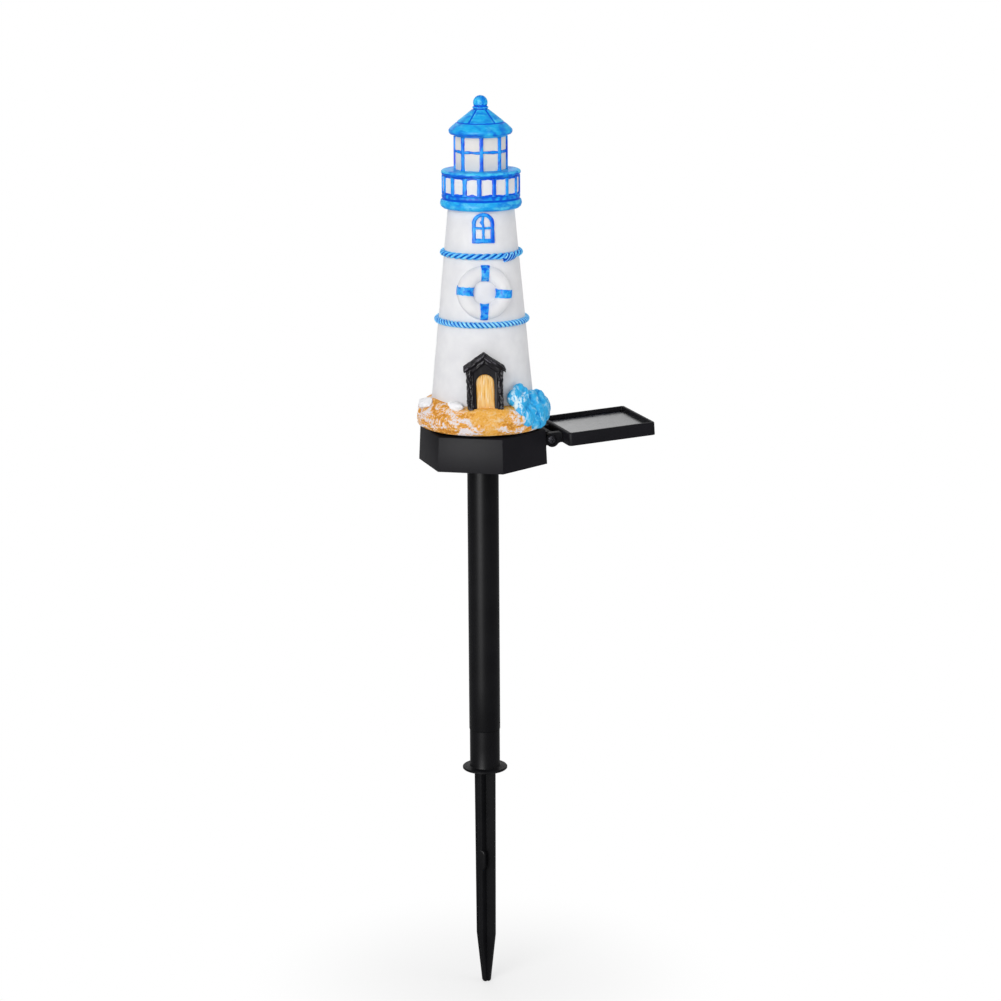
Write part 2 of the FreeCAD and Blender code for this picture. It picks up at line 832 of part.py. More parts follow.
def on_tower_front(shape, height, sink):
    """Leans a piece made about the origin to the tower's slope and puts it on the front wall."""
    lean = math.degrees(math.atan(tower_slope))
    shape.rotate(Vector(0, 0, 0), ALONG_X, -lean)
    shape.translate(Vector(0, sink - tower_radius(height), height))
    return shape


def life_ring_section(swell):
    """Half the front of the tube's section, as (distance from its middle, height) from its side to its crown."""
    r = life_ring_tube_radius + swell
    return [(r * math.cos(math.radians(a)), r * math.sin(math.radians(a))) for a in (0, 36, 72)]


def ring_blank(swell=0.0):
    """The life ring facing -Y: a round front, and sides that run straight back to the wall."""
    back = -life_ring_tube_radius * 2
    side = life_ring_tube_radius + swell
    outside = [(life_ring_radius + side, back)]
    outside += [(life_ring_radius + out, z) for out, z in life_ring_section(swell)]
    inside = [(life_ring_radius - side, back)]
    inside += [(life_ring_radius - out, z) for out, z in life_ring_section(swell)]
    ring = lathe(outside, life_ring_sides).cut(lathe(inside, life_ring_sides))
    ring.rotate(Vector(0, 0, 0), ALONG_X, 90)
    return ring


def life_ring():
    ring = on_tower_front(ring_blank(), life_ring_height, life_ring_sink)
    return ring.cut(tower_cone(0))


def life_ring_bands():
    """Four short wraps of webbing round the ring."""
    half = band_width / 2
    reach = life_ring_radius + 2 * life_ring_tube_radius
    sleeve = ring_blank(band_thickness).cut(ring_blank())
    bands = []
    for k in range(4):
        slab = block((-half, -reach, 0), (half, reach, reach))
        slab.rotate(Vector(0, 0, 0), ALONG_Y, 90 * k)
        band = on_tower_front(sleeve.common(slab), life_ring_height, life_ring_sink)
        bands.append(band.cut(tower_cone(0)))
    return Part.makeCompound(bands)


def arch_wire(width, foot, top):
    """A round-headed opening in the XZ plane."""
    half = width / 2
    spring = top - half
    return Part.Wire([
        Part.makeLine(Vector(-half, 0, foot), Vector(half, 0, foot)),
        Part.makeLine(Vector(half, 0, foot), Vector(half, 0, spring)),
        Part.Arc(Vector(half, 0, spring), Vector(0, 0, top), Vector(-half, 0, spring)).toShape(),
        Part.makeLine(Vector(-half, 0, spring), Vector(-half, 0, foot)),
    ])


def window_frame():
    reach = tower_foot_radius + window_proud
    foot, top = window_foot_height, window_foot_height + window_height
    frame = prism_along_y(arch_wire(window_width, foot, top), -reach, 0)
    light = prism_along_y(
        arch_wire(window_width - 2 * window_bar, foot + window_sill_height, top - window_bar), -reach, 0)
    cross_z = foot + window_crossbar_height
    half = window_muntin / 2
    bars = [
        block((-half, -reach, foot), (half, 0, top - window_bar / 2)),
        block((-window_width / 2 + window_bar / 2, -reach, cross_z - half),
              (window_width / 2 - window_bar / 2, 0, cross_z + half)),
    ]
    solid = frame.cut(light).fuse(bars).removeSplitter()
    return solid.common(tower_cone(window_proud)).cut(tower_cone(0))


porch_face_y = -(tower_radius(porch_foot_height) + porch_proud)


def porch():
    """The black doorway: two posts, a round-headed arch between them and a gabled roof."""
    half, eaves = porch_width / 2, porch_eaves_width / 2
    low = porch_foot_height - porch_sink
    wall = outline_xz([(-half, low), (half, low), (half, porch_eaves_height),
                       (0, porch_apex_height - porch_board), (-half, porch_eaves_height)])
    door_top = porch_foot_height + door_height
    opening = prism_along_y(arch_wire(door_width, low, door_top), porch_face_y - 1, 0)
    between = porch_width - 2 * porch_post_width
    recess = prism_along_y(
        outline_xz([(-between / 2, porch_foot_height), (between / 2, porch_foot_height),
                    (between / 2, porch_eaves_height - porch_board / 2), (0, porch_apex_height - 2 * porch_board),
                    (-between / 2, porch_eaves_height - porch_board / 2)]),
        porch_face_y - 1, porch_face_y + door_set_back / 2)
    front = prism_along_y(wall, porch_face_y, 0).cut([opening, recess])
    rise = (porch_apex_height - porch_eaves_height) / eaves
    roof = outline_xz([
        (-eaves, porch_eaves_height), (0, porch_apex_height), (eaves, porch_eaves_height),
        (eaves, porch_eaves_height - porch_board * 0.8),
        (eaves - porch_board_cut, porch_eaves_height - porch_board),
        (0, porch_apex_height - porch_board - porch_board_cut * rise),
        (-eaves + porch_board_cut, porch_eaves_height - porch_board),
        (-eaves, porch_eaves_height - porch_board * 0.8)])
    gable = prism_along_y(roof, porch_face_y - porch_roof_overhang, 0)
    return front.fuse(gable).removeSplitter().cut(tower_cone(0))


def door_blank():
    leaf = prism_along_y(arch_wire(door_width, porch_foot_height - porch_sink, porch_foot_height + door_height),
                         porch_face_y + door_set_back, 0)
    return leaf.cut(tower_cone(0))


def door_leaf():
    """Planks with a round head, set back between the posts."""
    face = porch_face_y + door_set_back
    plank = door_width / 4
    half = door_plank_gap / 2
    gaps = [block((plank * k - half, face - 1, porch_foot_height), (plank * k + half, face + half,
                   porch_foot_height + door_height)) for k in (-1, 0, 1)]
    return door_blank().cut(gaps)


def roughness(a, b):
    """A repeatable uneven value from -1 to 1 for the corner a of the level b of a rock."""
    value = math.sin(12.9898 * (a + 1) + 78.233 * (b + 1)) * 43758.5453
    return 2 * (value - math.floor(value)) - 1


def faceted(levels, top, bottom):
    """A closed solid with flat facets from rings of points, closed by a point above and one below."""
    count = len(levels[0])
    triangles = []
    for low, high in zip(levels, levels[1:]):
        for k in range(count):
            n = (k + 1) % count
            triangles += [(low[k], low[n], high[n]), (low[k], high[n], high[k])]
    for k in range(count):
        n = (k + 1) % count
        triangles += [(levels[-1][k], levels[-1][n], top), (levels[0][n], levels[0][k], bottom)]
    faces = [Part.Face(Part.makePolygon(list(t) + [t[0]])) for t in triangles]
    return Part.makeSolid(Part.makeShell(faces))


def rock_base():
    """The sandy rocks round the tower's foot, on a flat underside."""
    profile = [(rock_foot_radius, 0.0, 0.4), (rock_foot_radius + rock_foot_flare, rock_belly_height * 0.4, 0.8),
               (rock_belly_radius, rock_belly_height, 0.9),
               (rock_shoulder_radius + rock_shoulder_flare, rock_shoulder_height * 0.8, 1.0),
               (rock_shoulder_radius, rock_shoulder_height, 0.9), (tower_foot_radius, rock_top_height, 0.4)]
    levels = []
    for level, (radius, z, share) in enumerate(profile):
        ring = []
        for k in range(rock_sides):
            angle = 360.0 * (k + 0.5 * (level % 2)) / rock_sides
            bump = rock_roughness * share * roughness(k, level)
            lift = 0.0 if level == 0 else rock_roughness * share * roughness(k, level + 7)
            ring.append(polar(radius + bump, angle, z + lift))
        levels.append(ring)
    mound = faceted(levels, Vector(0, 0, rock_top_height), Vector(0, 0, 0))
    return mound.cut(tower_cone(0))


def boulder(sides, out, turn, rise, reach, seed):
    """An uneven stone by the tower's foot: rings of corners on an ellipsoid with half sizes reach."""
    centre = polar(tower_foot_radius + out, turn, rock_top_height + rise)
    levels = []
    bands = (-55, -18, 20, 55)
    for band, latitude in enumerate(bands):
        ring = []
        for k in range(sides):
            angle = math.radians(360.0 * (k + 0.5 * (band % 2)) / sides)
            swell = 1 + 0.09 * roughness(k + seed, band)
            flat = math.cos(math.radians(latitude)) * swell
            ring.append(Vector(centre.x + reach[0] * flat * math.cos(angle),
                               centre.y + reach[1] * flat * math.sin(angle),
                               centre.z + reach[2] * math.sin(math.radians(latitude)) * swell))
        levels.append(ring)
    return faceted(levels, centre + Vector(0, 0, reach[2]), centre - Vector(0, 0, reach[2]))


def blue_rocks(ground):
    """Two blue rocks by the door, seated on the sandy ones and on the tower."""
    low = boulder(blue_rock_sides, low_rock_out, low_rock_turn, low_rock_rise, low_rock_reach, 3)
    high = boulder(blue_rock_sides, high_rock_out, high_rock_turn, high_rock_rise, high_rock_reach, 11)
    rocks = low.fuse(high)
    return rocks.cut([tower_cone(0), ground])


def white_stones(ground):
    stones = [
        boulder(stone_sides, side_stone_out, side_stone_turn, side_stone_rise, side_stone_reach, 5),
        boulder(stone_sides, door_stone_out, door_stone_turn, door_stone_rise, door_stone_reach, 9)]
    return Part.makeCompound([stone.cut([tower_cone(0), ground]) for stone in stones])


def gallery_ring():
    """The rounded blue ring on the tower's top, with the ledge that carries the parapet."""
    belly = ring_z + ring_height / 2
    ring = lathe([
        (ring_seat_radius, ring_z), (ring_radius - ring_bevel, ring_z + ring_bevel),
        (ring_radius, belly - ring_bevel / 2), (ring_radius, belly + ring_bevel / 2),
        (ledge_radius, ledge_z), (ledge_radius, parapet_z)], figure_sides)
    return ring.cut(light_hole(ring_z, parapet_z))


def parapet_drum(inset=0.0):
    corners = parapet_radius - inset
    return lathe([(corners, parapet_z), (corners, deck_z)], post_count, post_turn - 90)


def gallery_parapet():
    return parapet_drum().cut(parapet_drum(parapet_wall))


def gallery_posts():
    half = post_width / 2
    post = block((parapet_radius / 2, -half, parapet_z), (parapet_radius + post_proud, half, deck_z))
    drum = parapet_drum()
    return Part.makeCompound([p.cut(drum) for p in around(post, post_count, post_turn - 90)])


def gallery_deck():
    edge = deck_radius - deck_edge_chamfer
    disc = lathe([(edge, deck_z), (deck_radius, deck_z + deck_edge_chamfer),
                  (deck_radius, lantern_z - deck_edge_chamfer), (edge, lantern_z)], figure_sides)
    return disc.cut(light_hole(deck_z, lantern_z))


def lantern_prism(swell, low, high):
    return lathe([(lantern_radius + swell, low), (lantern_radius + swell, high)],
                 mullion_count, mullion_turn - 90)


def lantern_room():
    return lantern_prism(0, lantern_z, roof_z).cut(lantern_prism(-lantern_wall, lantern_z, roof_z))


def lantern_bars():
    """The mullions at the room's corners and the crossbar that joins them."""
    half = mullion_width / 2
    bar = block((lantern_radius / 2, -half, lantern_z), (lantern_radius + mullion_proud, half, roof_z))
    level = lantern_z + crossbar_level
    hoop = lantern_prism(mullion_proud, level - crossbar_height / 2, level + crossbar_height / 2)
    cage = union([hoop] + around(bar, mullion_count, mullion_turn - 90))
    return cage.cut(lantern_prism(0, lantern_z, roof_z))


# ------------------------------------------------------------- figure: roof
def roof():
    neck_z = roof_z + roof_height
    seam_z = roof_z + seam_level
    widest_z = roof_z + eaves_height
    body = lathe([
        (eaves_foot_radius, roof_z), (eaves_radius - eaves_bevel, widest_z - 2 * eaves_bevel),
        (eaves_radius, widest_z - eaves_bevel), (eaves_radius, widest_z),
        (eaves_radius - eaves_bevel, widest_z + eaves_bevel), (seam_radius + seam_depth, seam_z - seam_width),
        (seam_radius - seam_depth, seam_z), (roof_neck_radius, neck_z)], figure_sides)
    hollow = lathe([(lantern_radius - lantern_wall, roof_z), (roof_neck_radius / 2, neck_z - roof_shell)],
                   figure_sides)
    rise = neck_z - seam_z
    run = seam_radius - roof_neck_radius
    seam = block((0, -seam_width / 2, -seam_depth), (math.hypot(rise, run), seam_width / 2, seam_depth))
    seam.rotate(Vector(0, 0, 0), ALONG_Y, -math.degrees(math.atan2(rise, -run)))
    seam.translate(Vector(seam_radius, 0, seam_z))
    return body.cut([hollow] + around(seam, seam_count, seam_turn - 90))


def finial():
    """A ball on a waisted collar."""
    step = collar_height / 4
    outline = [(collar_radius, collar_z), (collar_radius, collar_z + step),
               (collar_waist_radius, collar_z + 2 * step), (collar_radius, collar_z + 3 * step),
               (collar_waist_radius, collar_z + collar_height)]
    waist = math.degrees(math.asin((collar_z + collar_height - ball_z) / ball_radius))
    for k in range(1, ball_steps):
        angle = math.radians(waist + (90 - waist) * k / ball_steps)
        outline.append((ball_radius * math.cos(angle), ball_z + ball_radius * math.sin(angle)))
    outline.append((ball_radius * ball_tip_share, ball_z + ball_radius))
    return lathe(outline, finial_sides)


# ----------------------------------------------------------------------- build
def build():
    keep("ground_stake", ground_stake())
    keep("pole_tube", pole_tube())
    keep("base_housing", housing())
    keep("base_cover", base_cover())
    keep("base_gasket", base_gasket())
    keep("cover_screws", cover_screws())
    keep("figure_screws", figure_screws())
    keep("circuit_board", circuit_board())
    keep("board_screws", board_screws())
    keep("lamp_led", lamp_led())
    keep("battery_holder", battery_holder())
    keep("battery_cell", battery_cell())
    keep("negative_contact", negative_contact())
    keep("positive_contact", positive_contact())
    keep("switch_body", switch_body())
    keep("switch_button", switch_button())

    keep("panel_tray", placed_panel(panel_tray()))
    keep("solar_cell", placed_panel(solar_cell()))
    keep("hinge_bolt", placed_panel(hinge_bolt()))
    keep("hinge_nut", placed_panel(hinge_nut()))

    ground = rock_base()
    rocks = blue_rocks(ground)
    keep("white_stones", placed_figure(white_stones(ground)))
    keep("tower", placed_figure(tower()))
    keep("upper_rope", placed_figure(rope_ring(upper_rope_height)))
    keep("lower_rope", placed_figure(rope_ring(lower_rope_height)))
    keep("life_ring", placed_figure(life_ring()))
    keep("life_ring_bands", placed_figure(life_ring_bands()))
    keep("window_frame", placed_figure(window_frame()))
    keep("porch", placed_figure(porch()))
    keep("door_leaf", placed_figure(door_leaf()))
    keep("rock_base", placed_figure(ground.cut([porch(), door_blank()])))
    keep("blue_rocks", placed_figure(rocks))
    keep("gallery_ring", placed_figure(gallery_ring()))
    keep("gallery_parapet", placed_figure(gallery_parapet()))
    keep("gallery_posts", placed_figure(gallery_posts()))
    keep("gallery_deck", placed_figure(gallery_deck()))
    keep("lantern_room", placed_figure(lantern_room()))
    keep("lantern_bars", placed_figure(lantern_bars()))
    keep("roof", placed_figure(roof()))
    keep("finial", placed_figure(finial()))


build()
os.makedirs("parts", exist_ok=True)
for name, shape in parts.items():
    shape.exportStep("parts/" + name + ".step")
    solids = shape.Solids
    print("%-18s solids %2d valid %s volume %10.1f" % (name, len(solids), shape.isValid(), shape.Volume))
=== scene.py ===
"""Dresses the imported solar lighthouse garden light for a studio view."""
import json
import logging
import math
from dataclasses import dataclass, field
from enum import Enum
from functools import partial
from typing import Callable, Iterable, Sequence

import bmesh
import bpy
import numpy as np
from mathutils import Matrix, Vector, noise


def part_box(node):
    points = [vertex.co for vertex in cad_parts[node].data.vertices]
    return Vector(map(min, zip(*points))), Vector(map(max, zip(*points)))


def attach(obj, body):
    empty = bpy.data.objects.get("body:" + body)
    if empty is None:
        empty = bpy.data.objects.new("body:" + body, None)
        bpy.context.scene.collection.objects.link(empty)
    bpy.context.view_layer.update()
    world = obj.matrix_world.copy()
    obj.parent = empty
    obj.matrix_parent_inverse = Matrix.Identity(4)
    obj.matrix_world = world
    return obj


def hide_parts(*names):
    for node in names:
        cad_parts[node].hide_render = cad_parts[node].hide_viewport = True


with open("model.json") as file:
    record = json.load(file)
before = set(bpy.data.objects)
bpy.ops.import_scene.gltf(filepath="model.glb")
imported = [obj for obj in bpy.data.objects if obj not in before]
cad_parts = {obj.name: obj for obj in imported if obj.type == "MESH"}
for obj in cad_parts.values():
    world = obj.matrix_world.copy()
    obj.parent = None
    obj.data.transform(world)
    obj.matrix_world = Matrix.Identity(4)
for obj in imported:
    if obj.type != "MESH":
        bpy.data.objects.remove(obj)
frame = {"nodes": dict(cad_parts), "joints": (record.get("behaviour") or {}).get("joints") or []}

MM = 0.001
MERGE_MM = 0.002
PHOTO_SIDE = 1001
FIGURE_TURN_DEG = -12.0
PANEL_TILT_DEG = -3.5
LOG = logging.getLogger("lighthouse")
Socket = bpy.types.NodeSocket
Values = float | np.ndarray
Carving = tuple[np.ndarray, np.ndarray, np.ndarray]


class Body(Enum):
    """The record's bodies."""

    STAKE = "stake"
    POLE = "pole"
    HEAD = "head"
    PANEL = "panel"
    BUTTON = "button"


class Wrap(Enum):
    """How a grid of points closes: whether its rows join, its columns join, and its ends are capped."""

    RING = (True, True, False)
    BAR = (False, True, True)
    DOME = (True, False, False)
    SHEET = (False, False, False)


# ---- colour and nodes
def linear(hex_colour: str) -> tuple[float, float, float, float]:
    """Turns an sRGB hex colour to the linear values that a shader takes.

    Args:
        hex_colour: Such as "#2FA8EE".

    Returns:
        Linear red, green, blue and an alpha of 1.
    """
    values = [int(hex_colour[start:start + 2], 16) / 255 for start in (1, 3, 5)]
    return (*(v / 12.92 if v <= 0.04045 else ((v + 0.055) / 1.055) ** 2.4 for v in values), 1.0)


def add_node(tree: bpy.types.NodeTree, kind: str, links: dict | None = None, out: int | str = 0,
             **settings: object) -> Socket | None:
    """Adds a node with its settings, and sets or links its inputs.

    Args:
        tree: The shader or geometry tree.
        kind: Blender's name for the node's type, where a leading "ShaderNode" may be left out.
        links: For each input's name or number, a value, the socket that feeds it, or a list of such sockets.
        out: The name or number of the output to give back.
        settings: The node's own properties.

    Returns:
        That output, or nothing where the node has none.
    """
    node = tree.nodes.new(kind if "Node" in kind else "ShaderNode" + kind)
    for key, value in settings.items():
        setattr(node, key, value)
    for key, value in (links or {}).items():
        if isinstance(value, (Socket, list)):
            for source in value if isinstance(value, list) else [value]:
                tree.links.new(source, node.inputs[key])
        else:
            node.inputs[key].default_value = value
    return node.outputs[out] if len(node.outputs) else None


def emptied(owner: bpy.types.Material | bpy.types.World) -> bpy.types.NodeTree:
    """Gives a new material or world a node tree with nothing in it.

    Args:
        owner: The material or world.

    Returns:
        Its tree.
    """
    owner.use_nodes = True
    owner.node_tree.nodes.clear()
    return owner.node_tree


def laid_over(tree: bpy.types.NodeTree, under: Socket | tuple, top: str, value: Socket,
              span: tuple[float, float], most: float = 1.0, only: Socket | None = None) -> Socket:
    """Lays one coat of colour over another where a value crosses a span.

    Args:
        tree: The material's tree.
        under: The colour below, as a socket or as linear values.
        top: The coat's sRGB hex colour.
        value: What decides where the coat lies.
        span: The values at which the coat starts and at which it is full.
        most: The share of a full coat.
        only: Thins the coat where it is under 1, if given.

    Returns:
        The colour of both.
    """
    share = add_node(tree, "MapRange", {
        "Value": value, "From Min": span[0], "From Max": span[1], "To Max": most})
    if only is not None:
        share = add_node(tree, "Math", {0: share, 1: only}, operation="MULTIPLY")
    return add_node(tree, "Mix", {0: share, 6: under, 7: linear(top)}, 2, data_type="RGBA")


@dataclass(frozen=True)
class Finish:
    """A finish: its name, the record's slot for new pieces, and the even values that go on the shader."""

    name: str
    slot: str
    roughness: float = 0.5
    roughness_spread: float = 0.06
    specular: float = 0.5
    metallic: float = 0.0
    coat: float = 0.0
    grain_mm: float = 0.5
    grain_depth_mm: float = 0.02
    centre_mm: tuple[float, float, float] = (0.0, 0.0, 0.0)

    def colour(self, tree: bpy.types.NodeTree, place: Socket) -> Socket:
        """Builds the colour's nodes from a point's place and gives their socket."""
        raise NotImplementedError

    def material(self) -> bpy.types.Material:
        """Builds the material once.

        Returns:
            The material, the same one for every piece with this finish.
        """
        if self.name in bpy.data.materials:
            return bpy.data.materials[self.name]
        made = bpy.data.materials.new(self.name)
        node = partial(add_node, emptied(made))
        place = node("Mapping", {
            "Vector": node("TexCoord", out="Object"), "Location": tuple(-c * MM for c in self.centre_mm)})
        grain = node("TexNoise", {
            "Vector": place, "Scale": 1 / (self.grain_mm * MM), "Detail": 3.0, "Roughness": 0.6})
        rough = node("MapRange", {
            "Value": grain, "From Min": 0.3, "From Max": 0.7,
            "To Min": self.roughness - self.roughness_spread,
            "To Max": self.roughness + self.roughness_spread})
        bump = node("Bump", {"Height": grain, "Strength": 1.0, "Distance": self.grain_depth_mm * MM})
        shader = node("BsdfPrincipled", {
            "Base Color": self.colour(made.node_tree, place), "Roughness": rough, "Normal": bump,
            "Metallic": self.metallic, "Coat Weight": self.coat, "Specular IOR Level": self.specular})
        node("OutputMaterial", {"Surface": shader})
        return made


@dataclass(frozen=True)
class Toned(Finish):
    """An even material whose colour drifts between two close tones, as moulded plastic and metal do."""

    light: str = "#808080"
    dark: str = "#707070"
    drift_mm: float = 12.0

    def colour(self, tree: bpy.types.NodeTree, place: Socket) -> Socket:
        """Builds the drift from the dark tone to the light one."""
        drift = add_node(tree, "TexNoise", {
            "Vector": place, "Scale": 1 / (self.drift_mm * MM), "Detail": 4.0})
        return laid_over(tree, linear(self.dark), self.light, drift, (0.35, 0.65))


@dataclass(frozen=True)
class BrushedOn(Finish):
    """Thin paint put on by hand: strokes of two tones, a pale colour on crests and a dark one in grooves,
    which on the ropes, the window and the porch are painted highlights and painted shade.

    A piece's "relief" value is 0 in its grooves, 0.5 on its plain faces and 1 on its crests.
    """

    light: str = "#FFFFFF"
    middle: str = "#808080"
    dark: str = "#000000"
    crest: str = "#FFFFFF"
    groove: str = "#000000"
    stroke_mm: tuple[float, float, float] = (6.0, 6.0, 2.2)
    crest_share: float = 0.6
    dark_share: float = 0.5
    crest_from: float = 0.62
    patchy: float = 1.0
    groove_to: float = 0.42
    strokes_from: float = 0.36
    strokes_to: float = 0.62

    def colour(self, tree: bpy.types.NodeTree, place: Socket) -> Socket:
        """Builds the strokes, the pools, the groove colour and the crest colour, which are painted shade and
        painted highlights on the ropes, the window and the porch.

        Args:
            tree: The material's tree.
            place: The socket of a point's place.

        Returns:
            The colour's socket.
        """
        laid = add_node(tree, "Mapping", {
            "Vector": place, "Scale": tuple(1 / (s * MM) for s in self.stroke_mm)}, vector_type="POINT")
        strokes = add_node(tree, "TexNoise", {
            "Vector": laid, "Scale": 1.0, "Detail": 5.0, "Roughness": 0.62, "Distortion": 0.6})
        pools = add_node(tree, "TexNoise", {"Vector": laid, "Scale": 0.37, "Detail": 3.0, "Distortion": 1.1})
        relief = add_node(tree, "Attribute", out="Fac", attribute_name="relief")
        wash = (self.strokes_from, self.strokes_to)
        thin = add_node(tree, "MapRange", {
            "Value": strokes, "From Min": wash[0], "From Max": wash[1], "To Min": 1 - self.patchy})
        paint = laid_over(tree, linear(self.middle), self.light, strokes, wash)
        paint = laid_over(tree, paint, self.dark, pools, (0.46, 0.62), self.dark_share)
        paint = laid_over(tree, paint, self.groove, relief, (self.groove_to, self.groove_to - 0.3))
        return laid_over(tree, paint, self.crest, relief, (self.crest_from, 0.95), self.crest_share, thin)


@dataclass(frozen=True)
class RockWash(Finish):
    """Paint over cast rock: a darker colour in crevices, which is painted shade, the rock's own colour, and a
    chalky dry brush on ledges.

    "relief" is 0 in a crevice and 1 on a ledge, and "tint" is the share of dry brush that a place gets.
    """

    crevice: str = "#804010"
    base: str = "#F0B050"
    pale: str = "#F4DDB4"
    chalk: str = "#E6E1EC"
    patch_mm: float = 5.0
    chalk_from: float = 0.5
    mottle: float = 0.2

    def colour(self, tree: bpy.types.NodeTree, place: Socket) -> Socket:
        """Builds the painted shade in the crevices, the rock's colours and the dry brush from the relief and
        a mottling.

        Args:
            tree: The material's tree.
            place: The socket of a point's place.

        Returns:
            The colour's socket.
        """
        relief, tint = (add_node(tree, "Attribute", out="Fac", attribute_name=name)
                        for name in ("relief", "tint"))
        patches = add_node(tree, "TexNoise", {
            "Vector": place, "Scale": 1 / (self.patch_mm * MM), "Detail": 5.0, "Roughness": 0.65,
            "Distortion": 0.3})
        mottled = add_node(tree, "MapRange", {
            "Value": patches, "From Min": 0.3, "From Max": 0.7,
            "To Min": -self.mottle, "To Max": self.mottle})
        height = add_node(tree, "Math", {0: relief, 1: mottled}, operation="ADD")
        wash = laid_over(tree, linear(self.crevice), self.base, height, (0.04, 0.3))
        wash = laid_over(tree, wash, self.pale, height, (0.45, 0.8), 0.75)
        return laid_over(tree, wash, self.chalk, height, (self.chalk_from, self.chalk_from + 0.16), only=tint)


@dataclass(frozen=True)
class CellLaminate(Finish):
    """Dark thin-film cells under clear epoxy: fine pale scribe lines across them and a darker border."""

    cell: str = "#14161E"
    scribe: str = "#4A4D58"
    scribe_mm: tuple[float, float] = (0.22, 0.1)
    pitch_mm: float = 5.0
    half_side_mm: float = 23.5
    border: str = "#08090C"

    def colour(self, tree: bpy.types.NodeTree, place: Socket) -> Socket:
        """Builds the scribe lines and the border.

        Args:
            tree: The material's tree.
            place: The socket of a point's place.

        Returns:
            The colour's socket.
        """
        across = add_node(tree, "SeparateXYZ", {"Vector": place}, "Y")
        along = across.node.outputs["X"]
        steps = add_node(tree, "Math", {0: across, 1: self.pitch_mm * MM}, operation="PINGPONG")
        soft, sharp = (width * MM for width in self.scribe_mm)
        glass = laid_over(tree, linear(self.cell), self.scribe, steps, (soft, sharp), 0.7)
        reaches = [add_node(tree, "Math", {0: side}, operation="ABSOLUTE") for side in (across, along)]
        reach = add_node(tree, "Math", dict(enumerate(reaches)), operation="MAXIMUM")
        outside = add_node(tree, "Math", {0: reach, 1: self.half_side_mm * MM}, operation="GREATER_THAN")
        return laid_over(tree, glass, self.border, outside, (0.0, 1.0))


# Cast polyester resin in a satin white paint: almost even, a little cool, soft highlights, orange peel.
CAST_WHITE = Toned(
    "cast_resin_satin_white", "white_resin", roughness=0.6, grain_mm=0.9, grain_depth_mm=0.03,
    specular=0.04, light="#E8E8EA", dark="#E1E1E4", drift_mm=9.0)
# The same paint in the lantern, warmer: a painted glow that stands for lit glass.
PANE_WHITE = Toned(
    "cast_resin_painted_glow_white", "white_resin", roughness=0.6, grain_mm=0.9, specular=0.04, light="#E9E5DE",
    dark="#E3DFD9", drift_mm=9.0)
# Blue artist's acrylic brushed on: sky blue where it is thin, royal blue where it pools, a satin sheen.
BLUE_ACRYLIC = BrushedOn(
    "brushed_blue_acrylic", "blue_paint", roughness=0.42, specular=0.05, grain_mm=0.7, grain_depth_mm=0.035,
    light="#2EBAF3", middle="#16A4EC", dark="#0A6EE0", crest="#66D6F6", groove="#065EDA",
    stroke_mm=(5.0, 5.0, 2.4), dark_share=0.7, crest_share=0.85)
# The same acrylic dabbed on small things, so that its tones change within a few millimetres.
BLUE_DABS = BrushedOn(
    "dabbed_blue_acrylic", "blue_paint", roughness=0.42, specular=0.05, grain_mm=0.6, grain_depth_mm=0.03,
    light="#32B0F4", middle="#128AEE", dark="#0558E2", crest="#7AD6F8", groove="#0850D8",
    stroke_mm=(1.7, 1.7, 1.5), dark_share=0.95, crest_share=0.85)
# The same acrylic on the posts, the bars and the window, laid in upright strokes.
BLUE_UPRIGHT = BrushedOn(
    "upright_blue_acrylic", "blue_paint", roughness=0.42, specular=0.05, grain_mm=0.7, grain_depth_mm=0.03,
    light="#2AA8F6", middle="#1088F0", dark="#0556E2", crest="#5CC8F8", groove="#0852DC",
    stroke_mm=(2.2, 2.2, 4.5), dark_share=1.0)
# The lower rope and the loose end: nearly white painted highlights on the strands' crests and painted shade
# in their lay.
BLUE_ROPE = BrushedOn(
    "blue_acrylic_painted_highlights", "blue_paint", roughness=0.4, specular=0.06, grain_mm=0.6, light="#28A8F2",
    middle="#1284E8", dark="#0658D4", crest="#A6EAFF", groove="#063CB4", stroke_mm=(4.0, 4.0, 4.0),
    crest_share=1.0, crest_from=0.66, patchy=0.6, groove_to=0.62)
# The upper rope: its painted highlights are less pale and its painted shade is lighter.
ROYAL_ROPE = BrushedOn(
    "royal_acrylic_painted_highlights", "blue_paint", roughness=0.4, specular=0.06, grain_mm=0.6, light="#38B6F6",
    middle="#1C96EE", dark="#0A66DC", crest="#8ADEFE", groove="#084CC6", stroke_mm=(3.4, 3.4, 3.4),
    crest_share=0.95, patchy=0.6, groove_to=0.56)
# Black enamel with a purple cast, with grey along the carved edges that is partly a dry brush and partly a
# painted highlight, semi-gloss.
CARVED_BLACK = BrushedOn(
    "carved_black_enamel", "black_paint", roughness=0.36, specular=0.05, grain_depth_mm=0.03,
    light="#1C1A1F", middle="#131115", dark="#0C0B0D", crest="#807C86", groove="#070608",
    stroke_mm=(1.2, 1.2, 5.0), crest_share=0.9, crest_from=0.72)
# Ochre acrylic on planks, wiped so that the primer shows in the grain: matt.
PLANK_OCHRE = BrushedOn(
    "wiped_ochre_acrylic", "ochre_paint", roughness=0.62, specular=0.04, grain_mm=0.6, grain_depth_mm=0.04,
    light="#F6D79A", middle="#F3BE66", dark="#EDAA42", crest="#FBEED6", groove="#E09E3A",
    stroke_mm=(0.8, 0.8, 9.0), crest_share=0.95, crest_from=0.55)
# Sand-coloured acrylic washed over cast rock, with orange-brown painted shade in its crevices and a
# lavender-white dry brush: matt and chalky.
SAND_ROCK = RockWash(
    "washed_sand_rock", "sand_paint", roughness=0.66, specular=0.04, grain_mm=0.8, grain_depth_mm=0.06,
    crevice="#CC8634", base="#EAAC4B", pale="#EED2A2", chalk="#E5E0E7", patch_mm=1.3, chalk_from=0.4,
    mottle=0.34)
